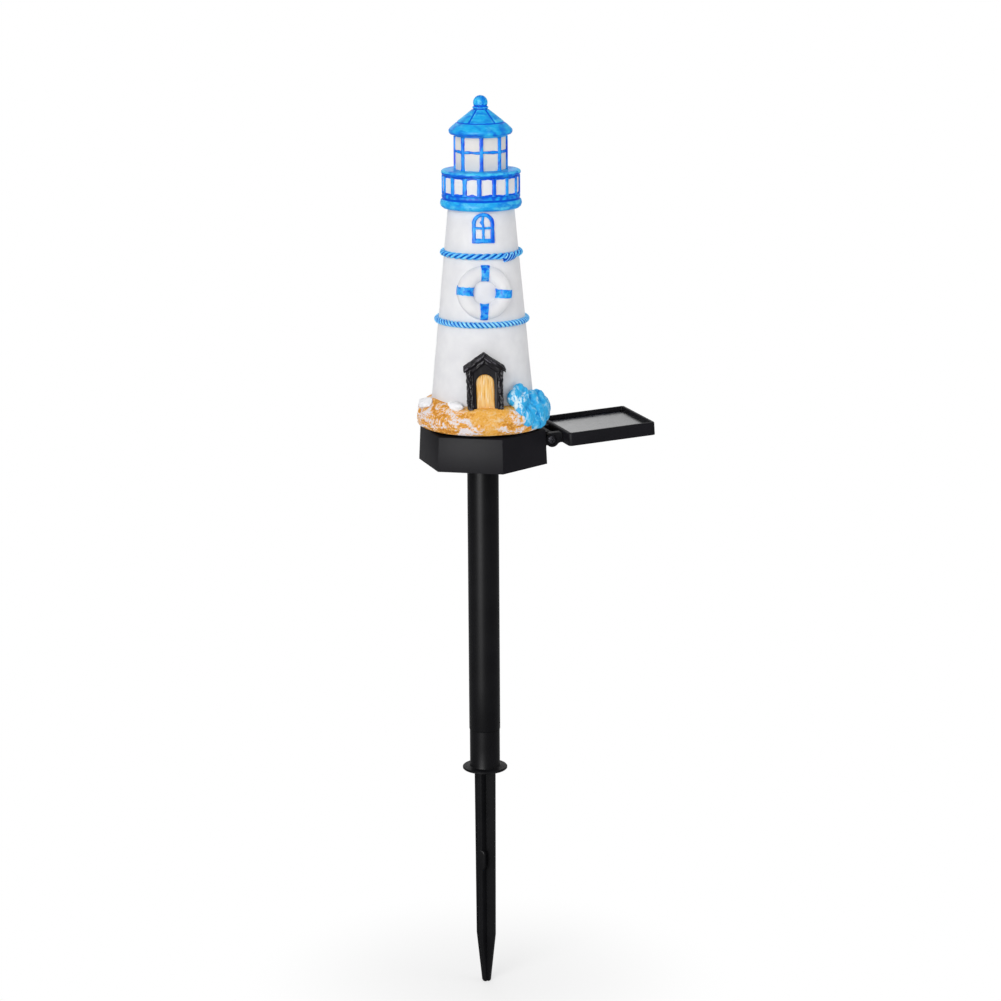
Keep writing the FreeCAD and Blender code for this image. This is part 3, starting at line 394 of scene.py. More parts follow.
# Sky-blue wash with white swirls on the two rocks by the door, a satin sheen.
BLUE_ROCK = RockWash(
    "washed_blue_rock", "blue_paint", roughness=0.45, specular=0.05, grain_mm=0.8, grain_depth_mm=0.04,
    crevice="#147ACC", base="#36AEE8", pale="#6CCBF2", chalk="#E0F4FC", patch_mm=4.0)
# White acrylic over cast stone, with a little grey painted shade in the hollows.
PALE_STONE = RockWash(
    "washed_white_stone", "pale_stone", roughness=0.6, specular=0.04, grain_mm=0.7, grain_depth_mm=0.04,
    crevice="#B9BBBF", base="#E6E6E8", pale="#F0F0F2", chalk="#F6F5F7")
# Injection-moulded ABS, spark-eroded texture: matt black. Its 0.1 mm grain is drawn at three times its size.
BLACK_ABS = Toned(
    "textured_black_abs", "black_plastic", roughness=0.48, grain_mm=0.32, specular=0.025, light="#1A191D",
    dark="#161619", drift_mm=18.0)
# Extruded polypropylene for the pole and moulded for the stake: smooth and satin, with faint flow marks.
POLE_PLASTIC = Toned(
    "smooth_black_polypropylene", "pole_plastic", roughness=0.4, grain_mm=0.6, grain_depth_mm=0.006,
    specular=0.03, light="#141416", dark="#0F0F11", drift_mm=25.0)
# Zinc-plated steel: bright grey with a fine turned grain.
ZINC_STEEL = Toned(
    "zinc_plated_steel", "steel", roughness=0.32, metallic=1.0, grain_mm=0.25, grain_depth_mm=0.004,
    light="#B4B6BA", dark="#9EA1A6", drift_mm=1.5)
# Black oxide steel, as the hinge's bolt and nut are: dark, oily sheen.
DARK_STEEL = Toned(
    "black_oxide_steel", "steel", roughness=0.38, metallic=1.0, grain_mm=0.3, grain_depth_mm=0.004,
    light="#3C3C40", dark="#2E2E32", drift_mm=1.5)
# Nickel-plated spring strip: bright, a little warm.
NICKEL_STRIP = Toned(
    "nickel_plated_strip", "spring_nickel", roughness=0.2, metallic=1.0, grain_mm=0.3, grain_depth_mm=0.002,
    light="#C6C4BE", dark="#B8B5AE", drift_mm=2.0)
# Nitrile rubber of the seal and the button's cap: matt.
SEAL_RUBBER = Toned(
    "nitrile_rubber", "seal_rubber", roughness=0.75, grain_mm=0.4, grain_depth_mm=0.01, specular=0.3,
    light="#1F1F20", dark="#191919", drift_mm=6.0)
# Solder resist over glass-fibre board: green, glossy, with the copper's relief showing faintly.
BOARD_RESIST = Toned(
    "green_solder_resist", "board_green", roughness=0.3, grain_mm=1.1, light="#1C6A3A", dark="#15552E",
    drift_mm=2.5)
# Cast epoxy lens of the lamp: clear and pale yellow at its core.
LAMP_EPOXY = Toned(
    "clear_lamp_epoxy", "lamp_lens", roughness=0.1, grain_mm=2.0, grain_depth_mm=0.002, coat=1.0,
    light="#F2F0DC", dark="#E6E2BE", drift_mm=2.0)
# Shrink-wrapped cell can: a plain grey-blue metallic sleeve with no print.
CELL_SLEEVE = Toned(
    "shrink_sleeve", "cell_can", roughness=0.28, grain_mm=1.4, grain_depth_mm=0.006, coat=0.4,
    light="#7F8FA0", dark="#6C7C8E", drift_mm=8.0)


# ---- places and outlines
def placed(at: Sequence[float], turn_deg: float = 0.0, axis: str = "Z") -> Matrix:
    """Turns a piece's own millimetres about an axis and moves them to a place in metres."""
    return Matrix.Translation(at) @ Matrix.Rotation(math.radians(turn_deg), 4, axis) @ Matrix.Scale(MM, 4)


def unit(values: Values) -> Values:
    """Keeps values between 0 and 1."""
    return np.clip(values, 0, 1)


def uneven(points: np.ndarray, size_mm: float, seed: int, stretch: Sequence[float] = (1, 1, 1)) -> np.ndarray:
    """Smooth repeatable noise at each point.

    Args:
        points: Places in millimetres, the last axis x, y, z.
        size_mm: How far apart the bumps are.
        seed: Moves the pattern.
        stretch: How many times as long the bumps are along x, y and z.

    Returns:
        Values from about -1 to 1, in the shape of points without its last axis.
    """
    scaled = points.reshape(-1, 3) / (size_mm * np.asarray(stretch, float)) + seed * 17.31
    values = [noise.noise(p) for p in scaled.tolist()]
    return np.asarray(values).reshape(points.shape[:-1]) * 1.7


def directions(count: int) -> np.ndarray:
    """Even directions all the way round, in radians."""
    return np.linspace(0, 2 * math.pi, count, endpoint=False)


def apart(angle_deg: Values, from_deg: float) -> Values:
    """How far a direction is past another one, from -180 to 180 degrees."""
    return (angle_deg - from_deg + 180) % 360 - 180


def polar(radius: Values, angle: Values, z: Values) -> np.ndarray:
    """Points from distances to the Z axis, directions in radians and heights."""
    return np.stack(np.broadcast_arrays(radius * np.cos(angle), radius * np.sin(angle), z), axis=-1)


def from_axis(points: np.ndarray) -> np.ndarray:
    """Each point's distance from the Z axis."""
    return np.linalg.norm(points[..., :2], axis=-1)


def direction_deg(points: np.ndarray) -> np.ndarray:
    """Each point's direction from the Z axis, in degrees."""
    return np.degrees(np.arctan2(points[..., 1], points[..., 0]))


def pushed_out(points: np.ndarray, swell: np.ndarray) -> np.ndarray:
    """Moves points away from the Z axis.

    Args:
        points: The points.
        swell: How far each one moves.

    Returns:
        The moved points.
    """
    reach = from_axis(points)
    moved = points.copy()
    moved[..., :2] *= ((reach + swell) / reach)[..., None]
    return moved


def soften(profile: Sequence[Sequence[float]], rounds: int) -> np.ndarray:
    """Cuts a closed line's corners again and again, which rounds them.

    Args:
        profile: The line's corners.
        rounds: How often its corners are cut.

    Returns:
        The rounded line's points.
    """
    line = np.asarray(profile, float)
    for _ in range(rounds):
        following = np.roll(line, -1, axis=0)
        cut = [line * 0.75 + following * 0.25, line * 0.25 + following * 0.75]
        line = np.stack(cut, axis=1).reshape(-1, line.shape[1])
    return line


def resampled(profile: Sequence[Sequence[float]], step: float, closed: bool = True) -> np.ndarray:
    """Divides a line evenly, with its corners kept.

    Args:
        profile: The line's points.
        step: The longest run allowed between two points.
        closed: Whether its end joins its start.

    Returns:
        The line's old and new points.
    """
    line = np.asarray(profile, float)
    line = np.vstack([line, line[:1]]) if closed else line
    points = []
    for a, b in zip(line[:-1], line[1:]):
        count = max(1, int(math.ceil(np.linalg.norm(b - a) / step)))
        points += [a + (b - a) * k / count for k in range(count)]
    return np.asarray(points if closed else points + [line[-1]])


def turned(profile: Sequence[Sequence[float]], sides: int) -> np.ndarray:
    """Turns a (radius, height) line about Z to a grid of points, one row for each direction."""
    radii, heights = np.asarray(profile, float).T
    return polar(radii, directions(sides)[:, None], heights)


def even_sided(radius: float, count: int, start_deg: float, step: float) -> np.ndarray:
    """The (x, y) outline of an even-sided drum.

    Args:
        radius: Over its corners.
        count: Its corners.
        start_deg: The first corner's direction.
        step: The longest run allowed between two points.

    Returns:
        The outline's points.
    """
    corners = np.radians(start_deg + 360 * np.arange(count) / count)
    return resampled(polar(radius, corners, 0.0)[:, :2], step)


def stacked(levels: Iterable[tuple[np.ndarray, float]]) -> np.ndarray:
    """Lays (x, y) outlines at their heights, one row for each."""
    return np.stack([np.column_stack([outline, np.full(len(outline), z)]) for outline, z in levels])


def rounded_corners(corners: Sequence[Sequence[float]], radius: float, steps: int = 3) -> np.ndarray:
    """Rounds the corners of a closed outline with short arcs.

    Args:
        corners: The outline's (x, y) corners.
        radius: How far from a corner its rounding starts.
        steps: Points on each rounding, less one.

    Returns:
        The rounded outline's points.
    """
    outline = np.asarray(corners, float)
    points = []
    for before, here, after in zip(np.roll(outline, 1, axis=0), outline, np.roll(outline, -1, axis=0)):
        start, end = (here + (far - here) / np.linalg.norm(far - here) * radius for far in (before, after))
        for t in np.linspace(0, 1, steps + 1):
            points.append((1 - t) ** 2 * start + 2 * t * (1 - t) * here + t ** 2 * end)
    return np.asarray(points)


# ---- meshes
class Sketch:
    """Gathers closed shapes in millimetres and makes one mesh of them."""

    def __init__(self) -> None:
        """Starts with nothing."""
        self.points: list[np.ndarray] = []
        self.faces: list[tuple[int, ...]] = []
        self.values: dict[str, list[np.ndarray]] = {"relief": [], "tint": []}
        self.count = 0

    def add(self, points: np.ndarray, faces: Iterable[Sequence[int]], relief: Values = 0.5,
            tint: Values = 0.0) -> "Sketch":
        """Adds points and the faces between them.

        Args:
            points: The places, in millimetres.
            faces: Numbers of the points round each face.
            relief: The height value of the finish, 0 in a groove to 1 on a crest.
            tint: The second value of the finish.

        Returns:
            The sketch.
        """
        self.points.append(points.reshape(-1, 3))
        for key, given in (("relief", relief), ("tint", tint)):
            self.values[key].append(np.broadcast_to(np.asarray(given, float), points.shape[:-1]).reshape(-1))
        self.faces += [tuple(int(i) + self.count for i in face) for face in faces]
        self.count += len(self.points[-1])
        return self

    def grid(self, points: np.ndarray, wrap: Wrap = Wrap.RING, relief: Values = 0.5,
             tint: Values = 0.0) -> "Sketch":
        """Adds a grid of points as a skin.

        Args:
            points: The grid, rows by columns by x, y, z.
            wrap: How it closes.
            relief: The height value of the finish.
            tint: The second value of the finish.

        Returns:
            The sketch.
        """
        rows_join, columns_join, capped = wrap.value
        rows, columns = points.shape[:2]
        row = np.arange(rows if rows_join else rows - 1)[:, None]
        column = np.arange(columns if columns_join else columns - 1)[None, :]
        next_row, next_column = (row + 1) % rows, (column + 1) % columns
        quads = np.stack([row * columns + column, row * columns + next_column,
                          next_row * columns + next_column, next_row * columns + column], axis=-1)
        faces = [tuple(q) for q in quads.reshape(-1, 4)]
        if capped:
            last = (rows - 1) * columns
            faces += [tuple(range(columns)), tuple(range(last, last + columns))]
        return self.add(points, faces, relief, tint)

    def prism(self, outline: Sequence[Sequence[float]], near: float, far: float) -> "Sketch":
        """Adds an upright plate.

        Args:
            outline: Its (x, z) outline.
            near: Its front, as y.
            far: Its back, as y.

        Returns:
            The sketch.
        """
        x, z = np.asarray(outline, float).T
        sides = [np.stack([x, np.full(len(x), y), z], axis=1) for y in (near, far)]
        return self.grid(np.stack(sides), Wrap.BAR)

    def mesh(self, name: str) -> bpy.types.Mesh:
        """Makes the mesh, still in millimetres, with doubles merged and faces outwards.

        Args:
            name: The mesh's name.

        Returns:
            The mesh.
        """
        mesh = bpy.data.meshes.new(name)
        mesh.from_pydata(np.concatenate(self.points).tolist(), [], self.faces)
        for key, values in self.values.items():
            mesh.attributes.new(key, "FLOAT", "POINT").data.foreach_set("value", np.concatenate(values))
        work = bmesh.new()
        work.from_mesh(mesh)
        bmesh.ops.remove_doubles(work, verts=work.verts, dist=MERGE_MM)
        bmesh.ops.recalc_face_normals(work, faces=work.faces)
        work.to_mesh(mesh)
        work.free()
        return mesh


def as_object(name: str, data: bpy.types.ID) -> bpy.types.Object:
    """Makes an object of a mesh, lamp or camera at the origin, in the scene's collection.

    Args:
        name: The object's name.
        data: The mesh, lamp or camera.

    Returns:
        The object.
    """
    obj = bpy.data.objects.new(name, data)
    bpy.context.scene.collection.objects.link(obj)
    return obj


def in_place(name: str, shape: Sketch | bpy.types.Mesh, place: Matrix, sharp_deg: float) -> bpy.types.Object:
    """Puts a shape in its place in the row frame and makes its object.

    Args:
        name: The piece's name.
        shape: The sketch or mesh, in its own millimetres.
        place: Turns it to the row frame's metres.
        sharp_deg: Edges that turn by more than this stay sharp.

    Returns:
        The object, at the origin.
    """
    mesh = shape.mesh(name) if isinstance(shape, Sketch) else shape
    mesh.transform(place)
    mesh.shade_smooth()
    mesh.set_sharp_from_angle(angle=math.radians(sharp_deg))
    return as_object(name, mesh)


def hand_over(name: str, shape: Sketch | bpy.types.Mesh, place: Matrix, body: Body, finish: Finish,
              sharp_deg: float, nodes: Sequence[str] = ()) -> None:
    """Finishes a piece: puts it in place, dresses it and hangs it on its body.

    Args:
        name: The piece's name.
        shape: The sketch or mesh, in its own millimetres.
        place: Turns it to the row frame's metres.
        body: The body that it rides on.
        finish: Its finish.
        sharp_deg: Edges that turn by more than this stay sharp.
        nodes: The CAD nodes that it stands for.
    """
    piece = in_place(name, shape, place, sharp_deg)
    piece.data.materials.clear()
    piece.data.materials.append(finish.material())
    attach(piece, body.value)
    if nodes:
        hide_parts(*nodes)
    LOG.info("%s: %d faces on %s", piece.name, len(piece.data.polygons), body.value)


def evaluated_mesh(obj: bpy.types.Object, name: str) -> bpy.types.Mesh:
    """Makes a plain mesh of an object with its modifiers, and removes the object.

    Args:
        obj: The object with live modifiers.
        name: The new mesh's name.

    Returns:
        The plain mesh.
    """
    bpy.context.view_layer.update()
    graph = bpy.context.evaluated_depsgraph_get()
    mesh = bpy.data.meshes.new_from_object(
        obj.evaluated_get(graph), preserve_all_data_layers=True, depsgraph=graph)
    mesh.name = name
    bpy.data.objects.remove(obj)
    return mesh


def clay(sketch: Sketch, name: str, voxel_mm: float, smooth_rounds: int,
         carve: Callable[[np.ndarray], Carving]) -> bpy.types.Mesh:
    """Joins overlapping shapes to one skin, smooths it and carves it.

    Args:
        sketch: The shapes.
        name: The mesh's name.
        voxel_mm: The skin's grid.
        smooth_rounds: How often the skin is smoothed.
        carve: From the points, gives how far each moves out, its relief and its tint.

    Returns:
        The carved mesh, in millimetres.
    """
    lump = as_object(name + "_lump", sketch.mesh(name + "_lump"))
    remesh = lump.modifiers.new("skin", "REMESH")
    remesh.mode, remesh.voxel_size = "VOXEL", voxel_mm
    if smooth_rounds:
        rounding = lump.modifiers.new("rounding", "SMOOTH")
        rounding.factor, rounding.iterations = 0.5, smooth_rounds
    mesh = evaluated_mesh(lump, name)
    points, normals = np.empty(len(mesh.vertices) * 3), np.empty(len(mesh.vertices) * 3)
    mesh.vertices.foreach_get("co", points)
    mesh.vertex_normals.foreach_get("vector", normals)
    points, normals = points.reshape(-1, 3), normals.reshape(-1, 3)
    moves, *values = carve(points)
    mesh.vertices.foreach_set("co", (points + normals * moves[:, None]).reshape(-1))
    for key, value in zip(("relief", "tint"), values):
        held = mesh.attributes.get(key) or mesh.attributes.new(key, "FLOAT", "POINT")
        held.data.foreach_set("value", unit(value))
    mesh.update()
    return mesh


def refined_copy(node: str, bevel_mm: float) -> bpy.types.Mesh:
    """Copies a CAD node's mesh, makes whole faces of its triangles and rounds its edges.

    Args:
        node: The CAD node.
        bevel_mm: The rounding's width.

    Returns:
        The rounded copy, in the row frame's metres.
    """
    mesh = frame["nodes"][node].data.copy()
    work = bmesh.new()
    work.from_mesh(mesh)
    bmesh.ops.remove_doubles(work, verts=work.verts, dist=MERGE_MM * MM)
    bmesh.ops.dissolve_limit(work, angle_limit=math.radians(1.0), verts=work.verts, edges=work.edges)
    work.to_mesh(mesh)
    work.free()
    obj = as_object(node + "_copy", mesh)
    bevel = obj.modifiers.new("edges", "BEVEL")
    bevel.width, bevel.segments, bevel.limit_method = bevel_mm * MM, 2, "ANGLE"
    bevel.angle_limit, bevel.use_clamp_overlap = math.radians(38), True
    return evaluated_mesh(obj, node + "_refined")


# ---- geometry nodes
class Maker:
    """A Geometry Nodes tree with named inputs, which makes plain meshes."""

    name = ""
    inputs: dict[str, str] = {}

    def __init__(self) -> None:
        """Builds the tree once: its inputs, the shape's own nodes, and the nodes that make it plain."""
        self.tree = bpy.data.node_groups.new(self.name, "GeometryNodeTree")
        self.node = partial(add_node, self.tree)
        sockets = self.tree.interface
        for title, kind in {"Geometry": "Geometry", **self.inputs, "Finish": "Material"}.items():
            sockets.new_socket(title, in_out="INPUT", socket_type="NodeSocket" + kind)
        sockets.new_socket("Geometry", in_out="OUTPUT", socket_type="NodeSocketGeometry")
        self.given = self.node("NodeGroupInput").node.outputs
        plain = self.node("GeometryNodeRealizeInstances", {0: self.shape()})
        dressed = self.node("GeometryNodeSetMaterial", {"Geometry": plain, "Material": self.given["Finish"]})
        self.node("NodeGroupOutput", {0: dressed})

    def shape(self) -> Socket:
        """Adds the nodes of the shape and gives their socket."""
        raise NotImplementedError

    def round_angle(self, count: str) -> Socket:
        """Adds the direction of each point of a circle.

        Args:
            count: The name of the input that counts the points.

        Returns:
            The direction's socket, in radians.
        """
        index = self.node("GeometryNodeInputIndex")
        share = self.node("Math", {0: index, 1: self.given[count]}, operation="DIVIDE")
        return self.node("Math", {0: share, 1: 2 * math.pi}, operation="MULTIPLY")

    def make(self, name: str, values: dict[str, object], finish: Finish,
             mesh: bpy.types.Mesh | None = None) -> bpy.types.Mesh:
        """Runs the tree and keeps its result as a plain mesh.

        Args:
            name: The result's name.
            values: The tree's inputs by name.
            finish: The result's finish.
            mesh: The mesh that it starts from, if any.

        Returns:
            The plain mesh.
        """
        obj = as_object(name + "_maker", mesh or bpy.data.meshes.new(name + "_maker"))
        modifier = obj.modifiers.new("maker", "NODES")
        modifier.node_group = self.tree
        values = {**values, "Finish": finish.material()}
        for socket in self.tree.interface.items_tree:
            if socket.in_out == "INPUT" and socket.name in values:
                modifier[socket.identifier] = values[socket.name]
        return evaluated_mesh(obj, name)


class RopeMaker(Maker):
    """Lays strands round a ring, for the ropes."""

    name = "laid_rope"
    inputs = {"Ring Radius": "Float", "Strand Radius": "Float", "Strand Offset": "Float", "Turns": "Float",
              "Steps": "Int"}
    strands = 3

    def shape(self) -> Socket:
        """Adds the strands as closed helices round the ring, made solid, with their relief.

        Returns:
            The ropes' geometry.
        """
        node, given = self.node, self.given
        angle = self.round_angle("Steps")
        cosine, sine = (node("Math", {0: angle}, operation=way) for way in ("COSINE", "SINE"))
        strands = []
        for number in range(self.strands):
            phase = node("Math", {0: angle, 1: given["Turns"], 2: 2 * math.pi * number / self.strands},
                         operation="MULTIPLY_ADD")
            out, up = (node("Math", {0: phase}, operation=way) for way in ("COSINE", "SINE"))
            radius = node("Math", {0: out, 1: given["Strand Offset"], 2: given["Ring Radius"]},
                          operation="MULTIPLY_ADD")
            height = node("Math", {0: up, 1: given["Strand Offset"]}, operation="MULTIPLY")
            x, y = (node("Math", {0: radius, 1: way}, operation="MULTIPLY") for way in (cosine, sine))
            loop = node("GeometryNodeMeshCircle", {"Vertices": given["Steps"]})
            helix = node("GeometryNodeSetPosition", {
                "Geometry": loop, "Position": node("CombineXYZ", {0: x, 1: y, 2: height})})
            curve = node("GeometryNodeMeshToCurve", {0: helix})
            section = node("GeometryNodeCurvePrimitiveCircle", {
                "Resolution": 10, "Radius": given["Strand Radius"]})
            strands.append(node("GeometryNodeCurveToMesh", {0: curve, 1: section}))
        joined = node("GeometryNodeJoinGeometry", {0: strands})
        return node("GeometryNodeStoreNamedAttribute", {
            "Geometry": joined, "Name": "relief", "Value": self.relief()}, data_type="FLOAT", domain="POINT")

    def relief(self) -> Socket:
        """Adds each point's distance from the rope's middle, as 0 in the lay to 1 on a strand's crest.

        Returns:
            The relief's socket.
        """
        node, given = self.node, self.given
        x, y, z = node("SeparateXYZ", {0: node("GeometryNodeInputPosition")}).node.outputs
        radius = node("VectorMath", {0: node("CombineXYZ", {0: x, 1: y})}, "Value", operation="LENGTH")
        out = node("Math", {0: radius, 1: given["Ring Radius"]}, operation="SUBTRACT")
        away = node("VectorMath", {0: node("CombineXYZ", {0: out, 1: z})}, "Value", operation="LENGTH")
        crest = node("Math", {0: given["Strand Offset"], 1: given["Strand Radius"]}, operation="ADD")
        return node("MapRange", {"Value": away, "From Min": given["Strand Offset"], "From Max": crest})

    def rope(self, name: str, radius: float, rope_radius: float, turns: int,
             finish: Finish) -> bpy.types.Mesh:
        """Lays a rope about the origin.

        Args:
            name: The rope's name.
            radius: The ring's radius to the rope's middle.
            rope_radius: Over the strands.
            turns: How often the strands go round the rope in one way round the ring; negative turns the lay.
            finish: Its finish.

        Returns:
            The rope's mesh, in millimetres.
        """
        offset = rope_radius * 0.55
        return self.make(name, {
            "Ring Radius": radius, "Strand Radius": rope_radius - offset, "Strand Offset": offset,
            "Turns": float(turns), "Steps": max(360, abs(turns) * 20)}, finish)


class BarRingMaker(Maker):
    """Stands a bar at even steps round a circle, each a little wider or narrower."""

    name = "ring_of_bars"
    inputs = {"Radius": "Float", "Start": "Float", "Spread": "Float", "Count": "Int", "Seed": "Int"}

    def shape(self) -> Socket:
        """Adds one instance of the given bar at each corner of a circle, turned outwards.

        Returns:
            The bars' geometry.
        """
        node, given = self.node, self.given
        corners = node("GeometryNodeMeshCircle", {"Vertices": given["Count"], "Radius": given["Radius"]})
        facing = node("CombineXYZ", {2: self.round_angle("Count")})
        widest, narrowest = (node("Math", {0: 1.0, 1: given["Spread"]}, operation=way)
                             for way in ("ADD", "SUBTRACT"))
        width = node("FunctionNodeRandomValue", {2: narrowest, 3: widest, 8: given["Seed"]}, 1,
                     data_type="FLOAT")
        bars = node("GeometryNodeInstanceOnPoints", {
            "Points": corners, "Instance": given["Geometry"], "Rotation": facing,
            "Scale": node("CombineXYZ", {0: 1.0, 1: width, 2: 1.0})})
        turn = node("CombineXYZ", {2: given["Start"]})
        return node("GeometryNodeTransform", {"Geometry": bars, "Rotation": turn})

    def ring(self, name: str, bar: Sketch, radius: float, count: int, start_deg: float, spread: float,
             seed: int, finish: Finish) -> bpy.types.Mesh:
        """Stands bars round the figure's axis.

        Args:
            name: The ring's name.
            bar: One bar at the origin, facing +X.
            radius: The circle's radius.
            count: How many bars.
            start_deg: The first bar's direction.
            spread: By how much of itself a bar's width differs.
            seed: Of the widths.
            finish: Its finish.

        Returns:
            The bars' mesh, in millimetres.
        """
        values = {"Radius": radius, "Start": math.radians(start_deg), "Spread": spread, "Count": count,
                  "Seed": seed}
        return self.make(name, values, finish, bar.mesh(name + "_bar"))


# ---- stake and pole
@dataclass
class GroundStake:
    """The ground stake: four fins below a flange, and a ferrule and spigot for the pole."""

    length: float = 146.0
    point: float = 33.0
    fin: float = 2.6
    reaches: tuple[float, float, float] = (7.2, 6.6, 2.7)
    taper: float = 0.6
    turn_deg: float = -137.5
    pad_drop: float = 61.0
    pad_radius: float = 3.2
    pad_run: float = 3.8
    profile: tuple[tuple[float, float], ...] = (
        (0, 0), (13.9, 0), (14.3, 0.4), (14.3, 1.2), (13.9, 1.6), (10.3, 1.6), (9.75, 1.9), (9.6, 2.5),
        (9.6, 26.3), (9.35, 26.6), (8.32, 26.6), (8.32, 53.8), (7.92, 54.6), (6.52, 54.6), (6.52, 4.0),
        (0, 4.0))

    def section(self, reach: float, shrink: float) -> np.ndarray:
        """The rounded (x, y) outline of the crossed fins.

        Args:
            reach: From the axis to a fin's edge.
            shrink: By how much the outline is drawn in.

        Returns:
            The outline's points.
        """
        half = self.fin / 2 - shrink
        corners = []
        for k in range(4):
            c, s = math.cos(math.pi * k / 2), math.sin(math.pi * k / 2)
            for x, y in ((reach - shrink, -half), (reach - shrink, half), (half, half)):
                corners.append((c * x - s * y, s * x + c * y))
        return rounded_corners(corners, 0.35)

    def build(self) -> None:
        """Makes the stake, with the pad on one fin, and hands it over."""
        sketch = Sketch().grid(turned(resampled(self.profile, 12.0, False), 96), Wrap.DOME)
        top, low, tip = self.reaches
        levels = ((tip, -self.length, 0.5), (tip, -self.length + 0.25, 0.15), (tip, -self.length + 0.7, 0.0),
                  (low, self.point - self.length, 0.0), (top, -0.4, 0.0), (top, 0.4, 0.0))
        sketch.grid(stacked((self.section(reach, shrink), z) for reach, z, shrink in levels), Wrap.BAR)
        angles = directions(40)
        run = self.pad_run * np.sign(np.sin(angles))
        stadium = np.column_stack([self.pad_radius * np.cos(angles), self.pad_radius * np.sin(angles) + run])
        face = top - self.taper * self.pad_drop / (self.length - self.point) + 0.3
        pad = np.stack([np.column_stack([np.full(len(angles), face + out), stadium * size])
                        for size, out in ((1.0, -2.0), (1.0, -0.25), (0.93, -0.06), (0.84, 0.0))])
        pad[..., 2] -= self.pad_drop
        sketch.grid(pad, Wrap.BAR)
        hand_over("ground_stake_moulding", sketch, placed((0, 0, 0), self.turn_deg), Body.STAKE,
                  POLE_PLASTIC, 32, ["ground_stake"])


@dataclass
class Pole:
    """The plain tube between the stake and the housing."""

    low: float = 26.6
    high: float = 201.6
    radius: float = 9.9
    bore: float = 8.4

    def build(self) -> None:
        """Makes the tube and hands it over."""
        profile = [(self.bore, self.low + 0.2), (self.bore + 0.2, self.low), (self.radius - 0.35, self.low),
                   (self.radius - 0.08, self.low + 0.12), (self.radius, self.low + 0.4),
                   (self.radius, self.high), (self.bore, self.high)]
        tube = Sketch().grid(turned(resampled(profile, 30.0), 96))
        hand_over("pole_tube_extrusion", tube, placed((0, 0, 0)), Body.POLE, POLE_PLASTIC, 32, ["pole_tube"])


# ---- housing and panel
@dataclass
class SolarHousing:
    """The six-sided housing with what is in it, and the panel on its hinge."""

    bevel: float = 0.35
    head_radius: float = 2.8
    head_seat: float = -12.2
    bolt_end: float = 14.1
    recess_mm: tuple[float, float, float] = (0.36, 1.7, 0.8)
    plain: dict[str, Finish] = field(default_factory=lambda: {
        "base_cover": BLACK_ABS, "base_gasket": SEAL_RUBBER, "cover_screws": ZINC_STEEL,
        "figure_screws": ZINC_STEEL, "circuit_board": BOARD_RESIST, "board_screws": ZINC_STEEL,
        "lamp_led": LAMP_EPOXY, "battery_holder": BLACK_ABS, "battery_cell": CELL_SLEEVE,
        "negative_contact": NICKEL_STRIP, "positive_contact": NICKEL_STRIP, "switch_body": BLACK_ABS,
        "switch_button": SEAL_RUBBER, "hinge_nut": DARK_STEEL})

    def build(self) -> None:
        """Makes the housing, the tray and the bolt; the cell and the inner nodes only get a finish."""
        for node, body in (("base_housing", Body.HEAD), ("panel_tray", Body.PANEL)):
            hand_over(node + "_moulding", refined_copy(node, self.bevel), Matrix.Identity(4), body,
                      BLACK_ABS, 40, [node])
        low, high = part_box("solar_cell")
        laminate = CellLaminate("epoxy_cell_laminate", "cell_face", roughness=0.2, roughness_spread=0.04,
                                grain_mm=6.0, grain_depth_mm=0.004, specular=0.4,
                                centre_mm=tuple((low + high) / 2 / MM))
        for node, finish in {**self.plain, "solar_cell": laminate}.items():
            materials = frame["nodes"][node].data.materials
            materials.clear()
            materials.append(finish.material())
            LOG.info("%s: dressed as %s", node, finish.name)
        self.bolt()

    def bolt(self) -> None:
        """Makes the hinge's bolt, with a domed head and a cross recess."""
        rim = self.head_seat - 1.35
        dome = [(self.head_radius * share, rim - 0.55 * (1 - share ** 2)) for share in np.linspace(0, 1, 22)]
        shank = [(self.head_radius, self.head_seat), (1.5, self.head_seat), (1.5, self.bolt_end - 0.4),
                 (1.2, self.bolt_end), (0, self.bolt_end)]
        points = turned(dome + shank, 72)
        x, y = np.abs(points[..., 0]), np.abs(points[..., 1])
        half_width, reach, depth = self.recess_mm
        crossed = (np.minimum(x, y) < half_width) & (np.maximum(x, y) < reach) & (points[..., 2] < rim + 0.01)
        points[..., 2] += np.where(crossed, depth, 0.0)
        pivot = next(joint for joint in frame["joints"] if joint["name"] == "panel_tilt")["pos_m"]
        hand_over("hinge_bolt_cross_head", Sketch().grid(points[..., [0, 2, 1]], Wrap.DOME),
                  placed(pivot, PANEL_TILT_DEG, "Y"), Body.PANEL, DARK_STEEL, 30, ["hinge_bolt"])


